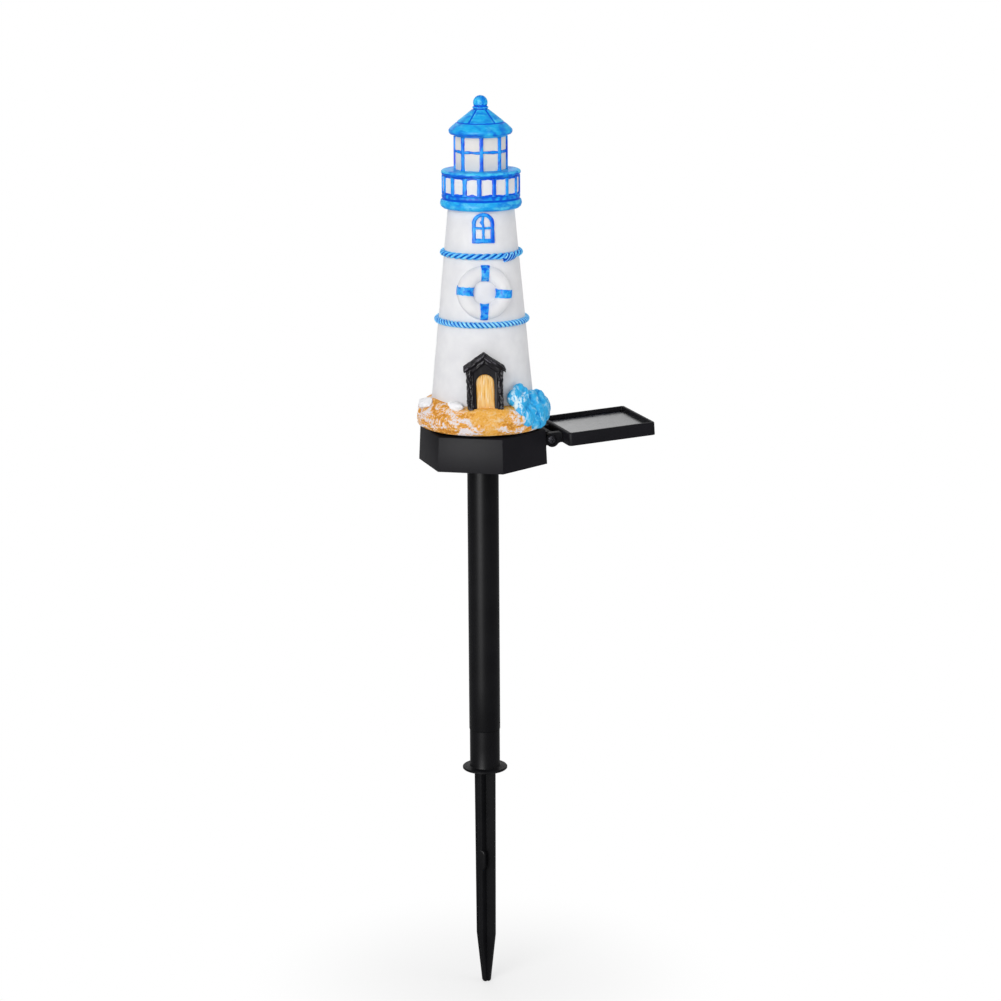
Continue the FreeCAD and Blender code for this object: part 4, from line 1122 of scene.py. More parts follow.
# ---- figure: tower
@dataclass
class Tower:
    """The white tower, to which the figure's other pieces are bonded."""

    height: float = 136.0
    foot: float = 33.4
    top: float = 20.5
    wall: float = 5.0
    ceiling: float = 4.0
    light_hole: float = 9.0
    lift_m: float = field(default_factory=lambda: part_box("tower")[0].z)

    def bond(self, name: str, shape: Sketch | bpy.types.Mesh, finish: Finish, sharp_deg: float, *nodes: str,
             turn_deg: float = 0.0) -> None:
        """Hands over a piece of the figure, drawn with the door towards -Y and the tower's foot at 0.

        Args:
            name: The piece's name.
            shape: The sketch or mesh, in millimetres.
            finish: Its finish.
            sharp_deg: Edges that turn by more than this stay sharp.
            nodes: The CAD nodes that it stands for.
            turn_deg: How much further round it is bonded than the figure's middle.
        """
        place = placed((0, 0, self.lift_m), FIGURE_TURN_DEG + turn_deg)
        hand_over(name, shape, place, Body.HEAD, finish, sharp_deg, nodes)

    def radius(self, z: Values) -> Values:
        """The wall's radius at a height."""
        return self.foot - (self.foot - self.top) / self.height * z

    def on_wall(self, x: np.ndarray, z: np.ndarray, proud: Values) -> np.ndarray:
        """Puts flat places on the tower's front.

        Args:
            x: Sideways, to the door's right.
            z: Height.
            proud: How far out of the wall.

        Returns:
            The places, the last axis x, y, z.
        """
        reach = self.radius(z)
        back = np.sqrt(np.maximum(reach ** 2 - x ** 2, 0.0))
        scale = (reach + proud) / reach
        return np.stack([x * scale, -back * scale, z * np.ones_like(x)], axis=-1)

    def build(self) -> None:
        """Makes the tower's shell and hands it over."""
        ceiling = self.height - self.ceiling
        profile = [(self.foot, 0), (self.top, self.height), (self.light_hole, self.height),
                   (self.light_hole, ceiling), (self.radius(ceiling) - self.wall, ceiling),
                   (self.foot - self.wall, 0)]
        grid = turned(resampled(profile, 2.5), 144)
        outside = np.abs(from_axis(grid) - self.radius(grid[..., 2])) < 0.01
        swell = np.where(outside, 0.07 * uneven(grid, 16.0, 3) + 0.03 * uneven(grid, 5.0, 4) - 0.06, 0.0)
        self.bond("tower_casting", Sketch().grid(pushed_out(grid, swell)), CAST_WHITE, 38, "tower")


@dataclass
class Ropes:
    """Two ropes round the tower; the upper one's end hangs over it at the front right."""

    tower: Tower
    radius: float = 2.0
    proud: float = 2.6
    upper: float = 108.8
    lower: float = 67.3
    upper_turns: int = 11
    lower_turns: int = 21
    end_from_deg: float = -61.0
    end_to_deg: float = -22.0
    end_strand: float = 2.5

    def ring(self, height: float) -> float:
        """The radius of a rope's middle line at a height."""
        return self.tower.radius(height) + self.proud - self.radius

    def build(self, maker: RopeMaker) -> None:
        """Lays both ropes, adds the loose end, and hands them over.

        Args:
            maker: Lays a rope.
        """
        for node, height, turns, paint in (("upper_rope", self.upper, self.upper_turns, ROYAL_ROPE),
                                           ("lower_rope", self.lower, -self.lower_turns, BLUE_ROPE)):
            mesh = maker.rope(node + "_laid", self.ring(height), self.radius, turns, paint)
            mesh.transform(Matrix.Translation((0, 0, height)) @ Matrix.Rotation(math.radians(90), 4, "Z"))
            self.tower.bond(node + "_laid", mesh, paint, 38, node)
        self.loose_end()

    def loose_end(self) -> None:
        """Makes the rope's blunt end, a flat bundle of slanting strands that lies over the rope."""
        share, around = np.linspace(0, 1, 130)[:, None], directions(40)[None, :]
        angle = np.radians(self.end_from_deg + (self.end_to_deg - self.end_from_deg) * share)
        blunt = unit(share / 0.035) ** 0.5 * unit((1 - share) / 0.5) ** 0.6
        half_height = (1.2 + 1.65 * (1 - share) ** 0.7) * blunt + 0.02
        half_depth = (1.2 + 1.2 * (1 - share)) * blunt + 0.02
        middle = self.upper - 1.15 * (1 - share) ** 0.8
        up = half_height * np.sin(around)
        slant = (angle - math.radians(self.end_from_deg)) * self.ring(self.upper) - up * 0.9
        crest = 0.5 + 0.5 * np.cos(slant * 2 * math.pi / self.end_strand)
        out = (half_depth + 0.28 * (crest - 0.5) * blunt) * np.cos(around)
        points = polar(self.ring(self.upper) + 0.25 + out, angle, middle + up)
        self.tower.bond("upper_rope_loose_end", Sketch().grid(points, Wrap.BAR, unit(0.1 + 0.9 * crest)),
                        BLUE_ROPE, 60)


@dataclass
class LifeRing:
    """The life ring on the tower, with four painted bands."""

    tower: Tower
    height: float = 87.0
    radius: float = 11.9
    tube: float = 4.7
    sink: float = 1.0
    band_width: float = 5.0
    band_proud: float = 0.35
    bands: tuple[tuple[float, float], ...] = ((-0.07, 1.0), (-0.03, 0.97), (-0.09, 1.04), (-0.04, 1.0))
    turn_deg: float = -1.3

    def section(self, direction: np.ndarray, swell: float, aside: Values = 0.0) -> np.ndarray:
        """The ring's front section in each direction.

        Args:
            direction: Directions round the ring, in radians.
            swell: How far out of the ring's surface.
            aside: How far beside that direction's line each point lies, which keeps a strip's sides parallel.

        Returns:
            A grid of directions by points from the inner wall over the crown to the outer wall.
        """
        turn = np.radians(np.linspace(180, 0, 17))
        out = np.pad((self.tube + swell) * np.cos(turn), 2, "edge")
        front = np.concatenate([[-1.0, -0.5], (self.tube + swell) * np.sin(turn), [-0.5, -1.0]])
        radial = self.radius + out
        direction = direction[:, None] + np.arcsin(np.clip(aside / radial[None, :], -0.95, 0.95))
        x, z = np.cos(direction) * radial, np.sin(direction) * radial
        wall = self.tower.radius(self.height)
        recede = wall - np.sqrt(np.maximum(wall ** 2 - x ** 2, 0))
        forward = np.where(front < 0, (recede + self.sink * 1.5) * front, front)
        return np.stack([x, -forward, z], axis=-1)

    def against_wall(self, points: np.ndarray) -> np.ndarray:
        """Leans points to the tower's slope and moves them to the ring's place.

        Args:
            points: The points, with the ring's middle at 0.

        Returns:
            The moved points.
        """
        lean = math.atan((self.tower.foot - self.tower.top) / self.tower.height)
        y = points[..., 1] * math.cos(lean) + points[..., 2] * math.sin(lean)
        z = -points[..., 1] * math.sin(lean) + points[..., 2] * math.cos(lean)
        y = y + self.sink - self.tower.radius(self.height)
        return np.stack([points[..., 0], y, z + self.height], axis=-1)

    def build(self) -> None:
        """Makes the ring and its bands and hands them over."""
        ring = self.against_wall(self.section(directions(112), 0.0))
        ring = ring + 0.08 * uneven(ring, 7.0, 8)[..., None]
        self.tower.bond("life_ring_casting", Sketch().grid(ring), CAST_WHITE, 60, "life_ring",
                        turn_deg=self.turn_deg)
        painted = Sketch()
        steps = np.linspace(-1, 1, 15)[:, None]
        for quarter, (lean, wide) in enumerate(self.bands):
            middle = np.full(len(steps), math.pi / 2 * quarter + lean)
            outer = self.section(middle, self.band_proud)
            ragged = 0.34 * uneven(outer, 1.7, 20 + quarter) + 0.3 * uneven(outer, 4.5, 30 + quarter)
            side = steps * self.band_width / 2 * wide
            aside = side + np.abs(steps) ** 5 * np.sign(side) * ragged
            strip = np.concatenate([self.section(middle, self.band_proud, aside),
                                    self.section(middle, -0.3, aside[::-1])])
            strip = self.against_wall(strip).transpose(1, 0, 2)
            painted.grid(strip, Wrap.BAR, unit(0.66 + 0.3 * uneven(strip, 2.4, 40)))
        self.tower.bond("life_ring_painted_bands", painted, BLUE_DABS, 60, "life_ring_bands",
                        turn_deg=self.turn_deg)


def arch(half: float, spring: float, foot: float, steps: int) -> list[tuple[float, float]]:
    """A round-headed (x, z) line, from its right foot over its head to its left foot."""
    arc = np.radians(np.linspace(0, 180, steps))
    return [(half, foot), *((half * math.cos(a), spring + half * math.sin(a)) for a in arc), (-half, foot)]


@dataclass
class Window:
    """The round-headed window: a painted frame in low relief."""

    tower: Tower
    foot: float = 117.0
    height: float = 18.3
    width: float = 13.4
    bar: float = 2.2
    muntin: float = 1.6
    sill: float = 2.7
    crossbar: float = 9.2
    proud: float = 0.9
    turn_deg: float = -2.2

    def strip(self, sketch: Sketch, path: Sequence[tuple[float, float]], width: float, seed: int,
              proud: float) -> None:
        """Adds a bar with a rounded top along a flat path.

        Args:
            sketch: Takes the bar.
            path: The bar's middle line in (x, z).
            width: The bar's width.
            seed: Of its unevenness.
            proud: Its height over the wall.
        """
        line = resampled(path, 0.5, False)
        ahead = np.gradient(line, axis=0)
        ahead /= np.linalg.norm(ahead, axis=1)[:, None]
        side = np.column_stack([-ahead[:, 1], ahead[:, 0]])
        flat = np.column_stack([line[:, 0], np.zeros(len(line)), line[:, 1]])
        wide = 1 + 0.13 * uneven(flat, 2.2, seed)
        across = np.array([-1, -1, -0.8, -0.35, 0.35, 0.8, 1, 1]) * width / 2
        level = np.pad(np.array([0.45, 0.85, 1, 1, 0.85, 0.45]) * proud, 1, constant_values=-0.4)
        place = line[:, None, :] + side[:, None, :] * (across * wide[:, None])[..., None]
        # The right-hand bars are darker: painted shade on the side away from the light.
        darker = 0.45 * unit((place[..., 0] - 3.0) / 2.0)
        relief = np.array([0.4, 0.48, 0.62, 0.72, 0.72, 0.62, 0.48, 0.4]) - darker
        sketch.grid(self.tower.on_wall(place[..., 0], place[..., 1], level), Wrap.BAR, relief)

    def build(self) -> None:
        """Makes the frame, its sill, its bars and the blot of paint beside them, and hands them over."""
        half, edge = self.width / 2 - self.bar / 2, self.width / 2
        top, spring = self.foot + self.height - self.bar, self.foot + self.height - self.width / 2
        low, cross = self.foot + self.sill / 2, self.foot + self.crossbar
        strips = (
            (arch(half, spring, self.foot, 25), self.bar, 1.0),
            ([(-edge, low), (edge, low)], self.sill, 1.0),
            ([(0.1, self.foot + 1), (0, self.foot + 8), (-0.1, top - 5.5), (-0.55, top - 3), (0, top)],
             self.muntin, 0.85),
            ([(-half, cross), (0, cross - 0.25), (half, cross)], self.muntin * 0.85, 0.85),
            ([(-1.9, top - 3.2), (-1.2, top - 3.7), (-0.7, top - 4.4), (-0.2, top - 5.4)],
             self.muntin * 0.8, 0.8))
        sketch = Sketch()
        for seed, (path, width, share) in enumerate(strips, 1):
            self.strip(sketch, path, width, seed, self.proud * share)
        self.tower.bond("window_frame_painted", sketch, BLUE_UPRIGHT, 60, "window_frame",
                        turn_deg=self.turn_deg)


# ---- figure: doorway
@dataclass
class Doorway:
    """The black carved doorway and its plank door."""

    tower: Tower
    foot: float = 17.0
    sink: float = 2.5
    width: float = 21.8
    post: float = 3.6
    proud: float = 5.6
    eaves: float = 42.0
    apex: float = 51.3
    eaves_width: float = 25.6
    board: float = 3.4
    overhang: float = 1.3
    door_width: float = 11.0
    door_height: float = 21.4
    set_back: float = 2.4
    back: float = -26.0
    lean: float = 0.024
    turn_deg: float = -2.2

    @property
    def face(self) -> float:
        """The posts' front, as y."""
        return -(self.tower.radius(self.foot) + self.proud)

    @property
    def spring(self) -> float:
        """Where the door's round head starts."""
        return self.foot + self.door_height - self.door_width / 2

    def shapes(self) -> Sketch:
        """Draws the doorway's plain shapes.

        Returns:
            The arch's face, two posts and two layers of gable boards.
        """
        sketch = Sketch()
        half, low = self.width / 2, self.foot - 0.4
        wall = [(-half + 0.5, low), (-half + 0.5, self.eaves - 1), (0, self.apex - self.board),
                (half - 0.5, self.eaves - 1), (half - 0.5, low)]
        sketch.prism(wall + arch(self.door_width / 2, self.spring, low, 24), self.face + 1.2, self.back)
        inner, head = half - self.post, self.eaves - 0.5
        for side in (-1, 1):
            outline = np.array([(inner, low), (half, low), (half, head), (inner, head)]) * (side, 1)
            sketch.prism(outline, self.face, self.back)
        for inset, drop, thinner, behind in ((0.0, 0.0, 1.1, 0.0), (1.6, 1.9, 0.4, 0.75)):
            e, z = self.eaves_width / 2 - inset, self.eaves - drop
            peak, thick = self.apex - drop * 1.12, self.board - thinner
            gable = [(-e, z), (0, peak), (e, z), (e, z - thick), (0, peak - thick * 1.25), (-e, z - thick)]
            sketch.prism(gable, self.face - self.overhang + behind, self.back + 2)
        return sketch

    def carve(self, points: np.ndarray) -> Carving:
        """Carves bark on the posts and long grain on the boards.

        Args:
            points: The doorway's points.

        Returns:
            How far each moves out, its relief and its tint.
        """
        x, y, z = points.T
        on_post = (np.abs(x) > self.width / 2 - self.post + 0.2) & (z < self.eaves - 1.5)
        on_board = z > self.eaves - 3.6 + (1 - np.abs(x) / 13.2) * 7.0
        bark = uneven(points, 1.3, 31, (1, 1, 2.2)) + 0.6 * uneven(points, 0.7, 32, (1, 1, 1.8))
        slant = np.stack([x * 0.79 + np.sign(x) * -0.61 * z, y, np.abs(x) * 0.61 + z * 0.79], axis=-1)
        grain = uneven(slant, 0.85, 33, (7.0, 1.0, 1.0)) + 0.4 * uneven(slant, 0.4, 34, (6.0, 1.0, 1.0))
        soft = uneven(points, 4.0, 35)
        where = [on_post, on_board]
        moves = np.select(where, [0.34 * bark - 0.1, 0.26 * grain - 0.1], 0.05 * soft - 0.05)
        height = np.select(where, [0.46 + 0.36 * bark, 0.5 + 0.4 * grain], 0.56 + 0.1 * soft)
        return moves, height, np.zeros(len(points))

    def leaning(self, mesh: bpy.types.Mesh) -> bpy.types.Mesh:
        """Leans a mesh as the photo's doorway leans, its top a little to the left.

        Args:
            mesh: The mesh, which is changed.

        Returns:
            The same mesh.
        """
        lean = Matrix.Identity(4)
        lean[0][2], lean[0][3] = -self.lean, self.lean * self.foot
        mesh.transform(lean)
        return mesh

    def build(self) -> None:
        """Makes the doorway and its door and hands them over."""
        porch = clay(self.shapes(), "porch_carved", 0.33, 2, self.carve)
        door = self.door().mesh("door_planks")
        for mesh, finish, sharp_deg, node in ((porch, CARVED_BLACK, 70, "porch"),
                                              (door, PLANK_OCHRE, 60, "door_leaf")):
            self.tower.bond(mesh.name, self.leaning(mesh), finish, sharp_deg, node, turn_deg=self.turn_deg)

    def door(self) -> Sketch:
        """Draws the planks under their round head, with worn grain.

        Returns:
            The door's shape.
        """
        half = self.door_width / 2 + 0.15
        x = np.linspace(-half, half, 67)
        head = self.spring + np.sqrt(np.maximum(half ** 2 - x ** 2, 0.0))
        low = self.foot - self.sink
        z = low + (head - low)[None, :] * np.linspace(0, 1, 70)[:, None]
        front = np.stack(np.broadcast_arrays(x, self.face + self.set_back, z), axis=-1)
        plank = self.door_width / 4
        groove = unit(1 - np.abs((x + plank / 2) % plank - plank / 2) / 0.28)
        grain = uneven(front, 0.55, 41, (1.0, 1.0, 16.0)) + 0.6 * uneven(front, 0.28, 42, (1.0, 1.0, 14.0))
        front[..., 1] += 0.22 * groove - 0.1 * grain
        rim = unit((np.abs(x) - half + 0.9) / 0.5) + unit((z - head + 1.0) / 0.6)
        relief = unit(0.55 + 0.36 * grain - 0.18 * groove - 0.5 * unit(rim))
        back = front.copy()
        back[..., 1] = self.back
        sketch = Sketch()
        sketch.grid(np.concatenate([front, back[::-1]]), Wrap.DOME, np.concatenate([relief, relief]))
        for edge in (0, -1):
            sketch.grid(np.stack([front[:, edge], back[:, edge]]), Wrap.SHEET)
        return sketch


# ---- figure: rocks
def hump(offset: Values, width: Values, power: int = 2) -> Values:
    """A smooth hump, 1 in its middle and nearly 0 past its width; a higher power flattens its top."""
    return np.exp(-((offset / width) ** power))


@dataclass(frozen=True)
class Lobe:
    """One swelling of the rocky foot."""

    angle: float
    height: float
    half_width: float
    half_height: float
    rise: float
    slope: float
    tint: float


@dataclass
class RockyFoot:
    """The sandy rocks round the tower's foot, carved in flowing ledges."""

    tower: Tower
    profile: tuple[tuple[float, float], ...] = (
        (28.0, 0.0), (36.6, 0.0), (38.2, 0.8), (39.2, 2.4), (39.7, 6.5), (39.4, 10.0), (38.6, 13.0),
        (37.2, 15.4), (34.6, 16.9), (32.4, 17.4), (29.5, 17.6), (28.4, 17.0))
    path_deg: float = -89.0
    largest: float = 41.0
    face_radius: float = 39.5
    lobes: tuple[Lobe, ...] = (
        Lobe(-118, 8.5, 11.0, 5.0, 1.5, -0.12, 1.0), Lobe(-136, 6.5, 6.5, 6.0, 1.2, 0.5, 1.0),
        Lobe(-94, 11.5, 9.0, 4.2, 0.8, 0.2, 0.1), Lobe(-104, 3.5, 10.0, 3.2, 1.1, 0.1, 0.9),
        Lobe(-76, 6.0, 10.0, 5.2, 1.3, -0.3, 0.75), Lobe(-62, 10.5, 8.0, 4.0, 1.2, -0.25, 0.8),
        Lobe(-158, 9.0, 8.5, 5.5, 1.4, 0.3, 0.7), Lobe(-178, 6.0, 9.0, 6.0, 1.3, -0.2, 0.6),
        Lobe(-198, 11.0, 8.0, 4.5, 1.4, 0.3, 0.7), Lobe(-50, 3.0, 7.0, 3.0, 0.5, 0.2, 0.5),
        Lobe(-22, 5.0, 9.0, 4.0, 0.3, 0.2, 0.6), Lobe(6, 9.0, 10.0, 5.0, 1.4, -0.2, 0.7),
        Lobe(32, 5.5, 9.0, 5.0, 1.3, 0.2, 0.6), Lobe(58, 10.0, 10.0, 5.0, 1.4, -0.3, 0.8),
        Lobe(84, 6.0, 9.0, 5.5, 1.2, 0.25, 0.6), Lobe(110, 10.0, 10.0, 5.0, 1.4, 0.2, 0.7),
        Lobe(136, 5.5, 9.0, 5.0, 1.3, -0.2, 0.7))
    # The sand is heaped before the doorstep, up to the posts' feet: heights, and how far it is heaped there.
    bank: tuple[tuple[float, ...], tuple[float, ...]] = (
        (9.0, 13.0, 15.4, 16.9, 17.4, 17.6), (0.0, 1.0, 2.2, 3.6, 2.6, 0.5))

    def swelling(self, angle: np.ndarray, z: np.ndarray) -> tuple[np.ndarray, np.ndarray]:
        """Finds the highest lobe at each place.

        Args:
            angle: The places' directions, in degrees.
            z: Their heights.

        Returns:
            That lobe's rise at each place, and its share of dry brush.
        """
        rise, tint = np.zeros_like(z), np.full_like(z, 0.45)
        for lobe in self.lobes:
            along = np.radians(apart(angle, lobe.angle)) * self.face_radius
            up = z - lobe.height - along * lobe.slope
            inside = 1 - (along / lobe.half_width) ** 2 - (up / lobe.half_height) ** 2
            own = lobe.rise * np.sqrt(unit(inside))
            tint = np.where(own > rise, lobe.tint, tint)
            rise = np.maximum(rise, own)
        return rise, tint

    def build(self) -> None:
        """Makes the rocks and hands them over."""
        grid = turned(resampled(soften(self.profile, 2), 0.42), 620)
        angle, radial, level = direction_deg(grid), from_axis(grid), grid[..., 2]
        aside, up = (uneven(grid, 7.0, seed) for seed in (51, 52))
        rise, tint = self.swelling(angle + np.degrees(aside * 0.05), level + up * 1.1)
        bent = grid + np.stack([aside * 1.4, up * 1.4, aside * 2.6], axis=-1)
        broad = uneven(bent, 3.6, 53, (2.6, 2.6, 0.8))
        cuts = unit(1 - np.abs(uneven(bent, 2.4, 54, (3.4, 3.4, 0.9))) / 0.2)
        cuts = np.maximum(cuts, 0.7 * unit(1 - np.abs(uneven(bent, 1.5, 57, (2.2, 2.2, 1.0))) / 0.16))
        crackle = 1 - 2.4 * np.abs(uneven(bent, 1.3, 55))
        crusty = unit((-angle - 124) / 10) * unit((angle + 190) / 20)
        from_path = apart(angle, self.path_deg)
        path = hump(from_path, 8.0 + 1.5 * np.clip(level - 5.0, 0, 12))
        rough = 1 - 0.5 * path
        facing = unit((radial - 31.0) / 4.0) * unit(level / 1.2)
        carved = 0.5 + 0.4 * broad - 0.6 * cuts + 0.3 * crusty * crackle
        move = (1.15 * rise + carved * rough - 0.4) * facing
        out = np.clip(radial + move * np.clip((radial - 33) / 5, 0.15, 1), 0, self.largest)
        lifted = pushed_out(grid, out - radial)
        heap = hump(from_path, 19, 6)
        bank = heap * np.interp(level, *self.bank)
        lifted = pushed_out(lifted, np.minimum(bank, self.largest - from_axis(lifted)))
        step = unit((level - 12.5) / 4.0) * unit((39 - radial) / 3) * unit((radial - 28) / 3) * (1 - heap)
        lifted[..., 2] += step * (0.5 * move + 1.6 * hump(angle + 160, 26))
        lifted[..., 2] = np.maximum(lifted[..., 2], 0.0)
        # The carved cuts get a lower relief, which colours them darker: painted shade in the crevices.
        relief = 0.5 + 0.06 * rise + (0.34 * broad - 0.42 * cuts) * rough + 0.2 * crusty * (crackle - 0.4)
        relief = unit(relief + 0.1 * uneven(grid, 5.0, 56, (1.6, 1.6, 1.0)))
        brushed = np.clip(tint + 0.35 - 1.3 * path, 0, 0.9)
        self.tower.bond("rock_base_carved", Sketch().grid(lifted, Wrap.RING, relief, brushed), SAND_ROCK, 75,
                        "rock_base")


@dataclass(frozen=True)
class Lump:
    """One rounded lump of a loose rock, in directions and distances round the tower."""

    angle: float
    distance: float
    height: float
    half: tuple[float, float, float]
    tilt_deg: float = 0.0

    def add_to(self, sketch: Sketch) -> None:
        """Adds the lump to a sketch as a closed ball, stretched and tilted.

        Args:
            sketch: Takes the ball.
        """
        latitudes = np.radians(np.linspace(-90, 90, 15))
        ball = turned(np.column_stack([np.cos(latitudes), np.sin(latitudes)]), 24) * self.half
        facing = math.radians(self.angle)
        turn = Matrix.Rotation(facing, 3, "Z") @ Matrix.Rotation(math.radians(self.tilt_deg), 3, "X")
        sketch.grid(ball @ np.asarray(turn).T + polar(self.distance, facing, self.height), Wrap.DOME)


@dataclass
class LooseRocks:
    """The two blue rocks and the two pale stones."""

    tower: Tower
    blue: tuple[Lump, ...] = (
        Lump(-53.5, 33.4, 27.4, (3.4, 4.2, 3.4)), Lump(-60.5, 34.6, 22.4, (3.8, 5.4, 5.6)),
        Lump(-55.0, 35.8, 18.0, (4.2, 5.4, 6.0)), Lump(-57.5, 37.2, 14.4, (3.6, 3.6, 4.4)),
        Lump(-46.5, 34.2, 21.4, (3.4, 3.4, 6.8)),
        Lump(-50.0, 37.6, 9.4, (4.4, 5.6, 6.4)), Lump(-43.0, 37.4, 11.0, (4.0, 4.4, 7.4), 16),
        Lump(-34.5, 34.2, 18.6, (4.8, 5.2, 6.4)), Lump(-19.0, 34.8, 17.4, (5.2, 5.8, 6.6)),
        Lump(-20.0, 37.0, 10.8, (5.8, 6.8, 9.4)), Lump(-33.5, 38.0, 9.8, (4.8, 5.4, 9.0)),
        Lump(-29.0, 38.0, 5.4, (4.4, 7.0, 5.0)), Lump(-12.0, 37.2, 11.0, (5.6, 5.2, 8.4)),
        Lump(-40.0, 38.2, 5.6, (4.2, 4.6, 4.4)), Lump(-8.0, 38.6, 7.0, (3.6, 4.6, 5.0)))
    dome: tuple[Lump, ...] = (
        Lump(-122.5, 35.4, 17.8, (3.4, 4.8, 2.9)), Lump(-126.5, 35.2, 18.8, (2.6, 3.6, 2.1)),
        Lump(-118.0, 36.2, 17.8, (2.4, 2.6, 2.0)))
    # The broken stone at the far left: its corners' directions, distances and heights.
    broken: tuple[tuple[float, float, float], ...] = (
        (-179.0, 40.0, 14.4), (-178.0, 39.5, 17.6), (-162.0, 40.6, 14.4), (-160.0, 40.0, 16.6),
        (-169.0, 40.8, 13.8), (-170.0, 40.5, 16.8), (-175.0, 35.4, 19.0), (-160.0, 34.6, 20.2),
        (-153.0, 37.0, 18.4), (-154.0, 38.8, 15.8), (-175.0, 34.0, 14.0), (-158.0, 34.0, 14.0))

    def carve_blue(self, points: np.ndarray) -> Carving:
        """Carves broad upright strokes in the blue rocks, and whitens the left one's front.

        Args:
            points: The rocks' points.

        Returns:
            How far each moves out, its relief and its tint.
        """
        bent = points + 2.4 * np.stack([uneven(points, 6.0, seed) for seed in (61, 62, 63)], axis=-1)
        swirl = 1 - 2.0 * np.abs(uneven(bent, 3.6, 64, (1.0, 1.0, 2.2)))
        fine = uneven(bent, 1.2, 65, (1.0, 1.0, 3.4))
        angle, z = direction_deg(points), points[:, 2]
        left, streak = hump(angle + 61, 8) * hump(z - 21, 7), hump(angle + 12, 4) * hump(z - 19, 3)
        tint = 0.16 + 1.0 * left + 0.9 * streak + 0.3 * uneven(points, 4.0, 66)
        return 0.22 * swirl + 0.1 * fine - 0.15, 0.4 + 0.22 * swirl + 0.12 * fine + 0.16 * left, tint

    def carve_stone(self, points: np.ndarray) -> Carving:
        """Chips the stones' faces.

        Args:
            points: The stones' points.

        Returns:
            How far each moves out, its relief and its tint.
        """
        chips = uneven(points, 2.6, 71) + 0.3 * uneven(points, 0.9, 72)
        return 0.1 * chips, 0.66 + 0.22 * chips, np.full(len(points), 0.8)

    def build(self) -> None:
        """Makes the rocks and the stones and hands them over."""
        rocks, stones = Sketch(), self.broken_stone()
        for sketch, lumps in ((rocks, self.blue), (stones, self.dome)):
            for lump in lumps:
                lump.add_to(sketch)
        mesh = clay(rocks, "blue_rocks_carved", 0.36, 3, self.carve_blue)
        self.tower.bond("blue_rocks_carved", mesh, BLUE_ROCK, 75, "blue_rocks")
        mesh = clay(stones, "white_stones_carved", 0.3, 0, self.carve_stone)
        self.tower.bond("white_stones_carved", mesh, PALE_STONE, 60, "white_stones")

    def broken_stone(self) -> Sketch:
        """Wraps the broken stone's corners in flat faces.

        Returns:
            The stone's shape.
        """
        angle, distance, height = np.array(self.broken).T
        work = bmesh.new()
        verts = [work.verts.new(corner) for corner in polar(distance, np.radians(angle), height).tolist()]
        result = bmesh.ops.convex_hull(work, input=verts)
        spare = [part for part in result["geom_interior"] if isinstance(part, bmesh.types.BMVert)]
        bmesh.ops.delete(work, geom=spare, context="VERTS")
        work.verts.index_update()
        points = np.array([vert.co[:] for vert in work.verts])
        faces = [tuple(vert.index for vert in face.verts) for face in work.faces]
        work.free()
        return Sketch().add(points, faces)


# ---- figure: gallery and lantern
def bar_sketch(width: float, low: float, high: float, behind: float, proud: float, seed: int) -> Sketch:
    """One upright painted bar with a rounded face.

    Args:
        width: Across the bar.
        low: Its foot.
        high: Its head.
        behind: Its back, from the circle that it stands on, towards the axis.
        proud: Its face, from the same circle.
        seed: Of its unevenness.

    Returns:
        The bar at the origin, facing +X.
    """
    heights = np.linspace(low, high, 26)
    across = np.array([-1, -1, -0.78, -0.3, 0.3, 0.78, 1, 1]) * width / 2
    out = np.pad(np.array([0.45, 0.85, 1, 1, 0.85, 0.45]) * proud, 1, constant_values=behind)
    ends = unit(1 - np.minimum(heights - low, high - heights) / 1.4)
    sway = uneven(np.column_stack([heights, heights, heights]), 3.2, seed)
    wide = 1 + 0.12 * sway + 0.3 * ends ** 2
    points = np.stack(np.broadcast_arrays(out, across * wide[:, None], heights[:, None]), axis=-1)
    return Sketch().grid(points, Wrap.BAR, np.array([0.3, 0.42, 0.55, 0.6, 0.6, 0.55, 0.42, 0.3]))


